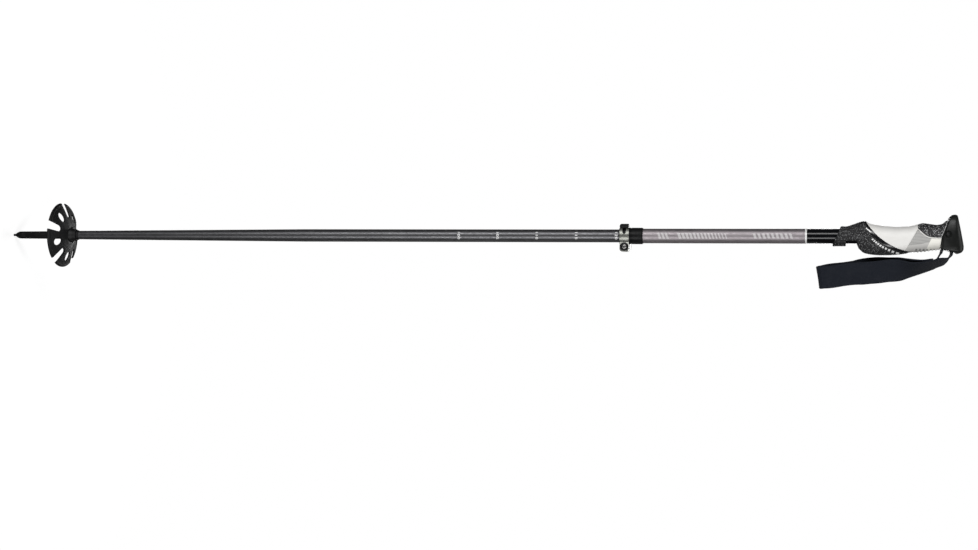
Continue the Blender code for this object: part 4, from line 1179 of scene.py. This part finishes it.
def grip_cap():
    tables = [[(station[0], station[k]) for station in CAP] for k in (1, 2, 3)]
    stations = sorted({station[0] for station in CAP} | {-25.5 + 0.9 * k for k in range(46)}
                      | {15.4, 15.65, 16.2, 16.5, 17.4, 18.8, 20.2, -25.7, -24.6, -24.0, -23.3})
    cap = raw("cap", *loft([cap_ring(x, *(interpolate(table, x) for table in tables)) for x in stations]))
    room = WRAP_R + WEB_THICK / 2 + GAP
    side = WEB_WIDTH / 2 + GAP
    low = (ANCHOR_LOW[0][0], ANCHOR_LOW[0][1] - WEB_THICK / 2 - GAP)
    high = (ANCHOR_HIGH[0][0], ANCHOR_HIGH[0][1] + WEB_THICK / 2 + GAP)
    pocket = arc(STRAP_PIN, room, 95, 262, 16) + [low, (30.0, low[1] - 1.0), (30.0, high[1]), high]
    cut(cap, prism(pocket, "Y", -side, side))
    cut(cap, lay_along_y(turned(((2.3, -40.0), (2.3, 40.0)), 48), *STRAP_PIN))
    for side in (-1, 1):
        dish = ((2.0, side * 14.4), (3.1, side * 15.2), (5.2, side * 17.6))
        cut(cap, lay_along_y(turned(dish, 48), *STRAP_PIN))
    finish_piece(cap, MAT["cap"], "handle", ["grip_cap"], "black_plastic", 42)


def strap_pin():
    """Cross pin with a shallow dimple in each end."""
    profile = soften(((0.02, -14.9), (0.9, -14.9), (0.9, -15.2), (STRAP_PIN_R, -15.2), (STRAP_PIN_R, 15.2),
                      (0.9, 15.2), (0.9, 14.9), (0.02, 14.9)), (0, 0, 0.1, 0.35, 0.35, 0.1, 0, 0))
    piece("strap_pin_turned", *lay_along_y(turned(profile, 48), *STRAP_PIN), MAT["dark_steel"], "handle",
          ["strap_pin"], "steel")


# ---------------------------------------------------------------- strap

LOOP_MIDDLE = (
    (1062.0, 49.6), (1084.0, 46.3), (1104.0, 43.6), (1120.0, 41.4), (1136.0, 40.2),
    (1150.0, 39.6), (1165.0, 38.0), (1180.0, 35.9), (1194.5, 31.9))
LOOP_TWIST = {               # of the outer strand and of the inner one
    1: ((1062.0, 90.0), (1140.0, 90.0), (1149.0, 80.0), (1157.0, 62.0), (1166.0, 43.0), (1180.0, 30.0),
        (1187.0, 27.0), (1194.5, 24.0)),
    -1: ((1062.0, 90.0), (1140.0, 90.0), (1149.0, 80.0), (1157.0, 62.0), (1166.0, 43.0), (1180.0, 28.0),
         (1187.0, 23.0), (1194.5, 17.0))}
LOOP_GAP = (
    (1062.0, 11.0), (1080.0, 16.0), (1105.0, 18.0), (1140.0, 13.0), (1170.0, 5.4), (1184.0, 3.4), (1194.5, 3.1))
LOOP_SHIFT = (               # how far the front strand hangs out and the rear one in
    (1062.0, 0.5), (1074.0, 1.4), (1091.0, 0.9), (1102.0, 1.2), (1112.0, 2.3), (1126.0, 2.5), (1138.0, 1.7),
    (1152.0, 0.3), (1165.0, 0.0), (1194.5, 0.0))


def webbing_point(z, side, cosine, sine=0.0):
    """A point of a strand (cosine 1 or -1) or of the fold between them, and the webbing's width there."""
    point = Vector((interpolate(LOOP_MIDDLE, z), 0.0, z))
    slope = (interpolate(LOOP_MIDDLE, z + 2.0) - interpolate(LOOP_MIDDLE, z)) / 2
    upward = Vector((slope, 0.0, 1.0)).normalized()
    twist = math.radians(interpolate(LOOP_TWIST[side], z))
    flat = Vector((math.sin(twist), math.cos(twist), 0.0))
    width = (flat - upward * flat.dot(upward)).normalized()
    half_gap, shift = interpolate(LOOP_GAP, z) / 2, interpolate(LOOP_SHIFT, z)
    return point + (width.cross(upward) * half_gap + width * shift) * cosine - upward * half_gap * sine, width


def strap_control():
    """Middle points and width directions along the whole webbing: cap, front strand, fold, rear strand."""
    wrap = arc(STRAP_PIN, WRAP_R, 262, 95, 10)
    turns = [math.radians(turn) for turn in [13, 6, 0] + [0] * len(wrap) + [0, 0, 9, 19, 22]]
    control = [(Vector((x, 0.0, z)), Vector((math.sin(turn), math.cos(turn), 0.0)))
               for (x, z), turn in zip([*ANCHOR_LOW[::-1], *wrap, *ANCHOR_HIGH], turns)]
    low, high, steps = 1065.0, 1194.5, 26
    levels = [high + (low - high) * i / steps for i in range(steps + 1)]
    fold = [math.pi * k / 8 for k in range(1, 8)]
    return (control + [webbing_point(z, 1, 1.0) for z in levels]
            + [webbing_point(low, 1, math.cos(angle), math.sin(angle)) for angle in fold]
            + [webbing_point(z, -1, -1.0) for z in levels[::-1]])


def strap_path(spacing=0.9):
    """The control line as an evenly spaced smooth closed curve."""
    control = strap_control()
    count = len(control)
    fine = []
    for i in range(count):
        p = [control[(i + k) % count] for k in (-1, 0, 1, 2)]
        for k in range(8):
            t = k / 8
            weights = (-t + 2 * t * t - t ** 3, 2 - 5 * t * t + 3 * t ** 3, t + 4 * t * t - 3 * t ** 3, t ** 3 - t * t)
            point = sum((at[0] * weight / 2 for at, weight in zip(p, weights)), Vector())
            fine.append((point, p[1][1] * (1 - t) + p[2][1] * t))
    lengths = [0.0]
    for before, after in zip(fine, fine[1:] + fine[:1]):
        lengths.append(lengths[-1] + (after[0] - before[0]).length)
    total = lengths[-1]
    steps = round(total / spacing)
    path, index = [], 0
    for k in range(steps):
        at = total * k / steps
        while lengths[index + 1] < at:
            index += 1
        t = (at - lengths[index]) / max(lengths[index + 1] - lengths[index], 1e-9)
        start, end = fine[index], fine[(index + 1) % len(fine)]
        path.append((start[0].lerp(end[0], t), start[1].lerp(end[1], t), at))
    return path, total


def wrist_strap():
    """Woven webbing in one closed run, with rounded selvedges and a pair of stitched lines."""
    path, total = strap_path()
    half, thick = WEB_WIDTH / 2, WEB_THICK / 2
    columns = 30
    section = []
    for k in range(columns + 1):
        a = -half + 2 * half * k / columns
        near = half - abs(a)
        crown = math.sqrt(max(0.0, 1 - max(0.0, 1 - near / thick) ** 2)) if near < thick else 1.0
        stitch = 0.16 * math.exp(-((near - 2.6) / 0.45) ** 2)
        binding = 0.10 * math.exp(-((near - 1.1) / 0.6) ** 2)
        section.append((a, thick * max(crown, 0.18) * (1 + binding) - stitch))
    outline = section + [(a, -b) for a, b in section[::-1]]
    count = len(path)
    rings, along_mm, across_mm = [], [], []
    for i, (point, width, at) in enumerate(path):
        tangent = (path[(i + 1) % count][0] - path[i - 1][0]).normalized()
        across = (width - tangent * width.dot(tangent)).normalized()
        normal = tangent.cross(across).normalized()
        ring = []
        for a, b in outline:
            ripple = 0.10 * math.sin(at / 9.0 + a * 0.22) * math.sin(at / 23.0)
            ring.append(tuple(point + across * a + normal * (b + ripple)))
            along_mm.append(at)
            across_mm.append(a)
        rings.append(ring)
    strap = raw("wrist_strap", *loft(rings, closed=True))
    store(strap, "along", along_mm)
    store(strap, "across", across_mm)
    finish_piece(strap, MAT["webbing"], None, ["strap_anchor", "strap_loop"], "navy_webbing", 60)
    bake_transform(strap)


# ---------------------------------------------------------------- what stays from the CAD model

def keep_nodes():
    """CAD nodes whose shape is right as it is, with a better surface."""
    for name in ("lower_plug", "guide_bush", "upper_plug", "strap_wedge"):
        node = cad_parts[name]
        node.data.materials.clear()
        node.data.materials.append(MAT["hidden"])


# ---------------------------------------------------------------- floor, light and camera

def floor():
    """A pale round floor that fades out into the white ground."""
    thing = raw("floor", *loft([circle(r, -0.02, 96) for r in (0.5, 150.0, 400.0, 900.0)], caps=False))
    surface = Surface("floor_paper", (0.50, 0.50, 0.50), 0.9)
    surface.shader.inputs["Emission Color"].default_value = (1.0, 1.0, 1.0, 1.0)
    surface.shader.inputs["Emission Strength"].default_value = 0.755
    middle = surface.node("ShaderNodeVectorMath", operation="LENGTH")
    surface.link(surface.coordinates, middle.inputs[0])
    clear = surface.node("ShaderNodeBsdfTransparent")
    mix = surface.node("ShaderNodeMixShader")
    surface.link(surface.ramp(middle.outputs["Value"], 0.10, 0.62), mix.inputs["Fac"])
    surface.link(surface.shader.outputs["BSDF"], mix.inputs[1])
    surface.link(clear.outputs["BSDF"], mix.inputs[2])
    surface.link(mix.outputs["Shader"], surface.tree.nodes["Material Output"].inputs["Surface"])
    thing.data.materials.append(surface.material)
    thing.visible_glossy = thing.visible_diffuse = False


def strip_light(name, azimuth, distance, width, height, z, power):
    """A tall soft box at an angle from the camera's side (-Y), positive towards -X."""
    data = bpy.data.lights.new(name, "AREA")
    data.shape = "RECTANGLE"
    data.size, data.size_y = width, height
    data.energy = power
    lamp = new_object(name, data)
    angle = math.radians(azimuth)
    lamp.location = (-distance * math.sin(angle), -distance * math.cos(angle), z)
    aim = Vector((0.0, 0.0, z)) - lamp.location
    lamp.rotation_euler = aim.to_track_quat("-Z", "Y").to_euler()
    return lamp


def studio():
    world = bpy.data.worlds.new("white_studio")
    bpy.context.scene.world = world
    world.use_nodes = True
    tree = world.node_tree
    tree.nodes.clear()

    def background(colour, strength):
        made = tree.nodes.new("ShaderNodeBackground")
        made.inputs["Color"].default_value = (*colour, 1.0)
        made.inputs["Strength"].default_value = strength
        return made.outputs["Background"]

    paths = tree.nodes.new("ShaderNodeLightPath")
    mix = tree.nodes.new("ShaderNodeMixShader")
    out = tree.nodes.new("ShaderNodeOutputWorld")
    tree.links.new(paths.outputs["Is Camera Ray"], mix.inputs["Fac"])
    tree.links.new(background((0.96, 0.98, 1.0), 0.05), mix.inputs[1])
    tree.links.new(background((1.0, 1.0, 1.0), 1.0), mix.inputs[2])
    tree.links.new(mix.outputs["Shader"], out.inputs["Surface"])
    strip_light("strip_upper", 40, 2.2, 0.75, 2.6, 0.95, 38)
    strip_light("strip_lower", -32, 2.2, 0.65, 2.6, 0.95, 32)
    strip_light("side_lower", -112, 2.4, 0.5, 2.4, 0.8, 4)
    strip_light("back", 180, 2.4, 1.2, 0.6, 1.15, 17)
    top = strip_light("top", 0, 0.01, 1.6, 1.6, 3.2, 12)
    top.rotation_euler = (0.0, 0.0, 0.0)
    bpy.context.scene.view_settings.view_transform = "Standard"


def camera():
    """Looks along +Y and a little down, turned so that the pole lies across the picture, tip at the left."""
    data = bpy.data.cameras.new("camera")
    data.lens, data.sensor_width = 58.9, 36.0
    data.clip_start, data.clip_end = 0.05, 50.0
    thing = new_object("camera", data)
    pitch = math.radians(11.5)
    forward = Vector((0.0, math.cos(pitch), -math.sin(pitch)))
    right = Vector((0.0, math.sin(pitch), math.cos(pitch)))
    up = right.cross(forward)
    roll = math.radians(-0.38)
    right, up = right * math.cos(roll) - up * math.sin(roll), up * math.cos(roll) + right * math.sin(roll)
    matrix = Matrix((right, up, -forward)).transposed().to_4x4()
    matrix.translation = Vector((0.0496, -1.98, 1.0545))
    thing.matrix_world = matrix
    bpy.context.scene.camera = thing


def build():
    for make in (carbide_tip, tip_ferrule, basket, basket_ribs, lower_tube, upper_tube, length_scale, shaft_print,
                 clamp_sleeve, clamp_band, counterbore_shade_ring, cam_washer, tension_screw, lever_pin, clamp_lever, grip_pieces,
                 grip_graphics, grip_cap, strap_pin, wrist_strap, keep_nodes, floor, studio, camera):
        make()


build()
bpy.context.view_layer.update()
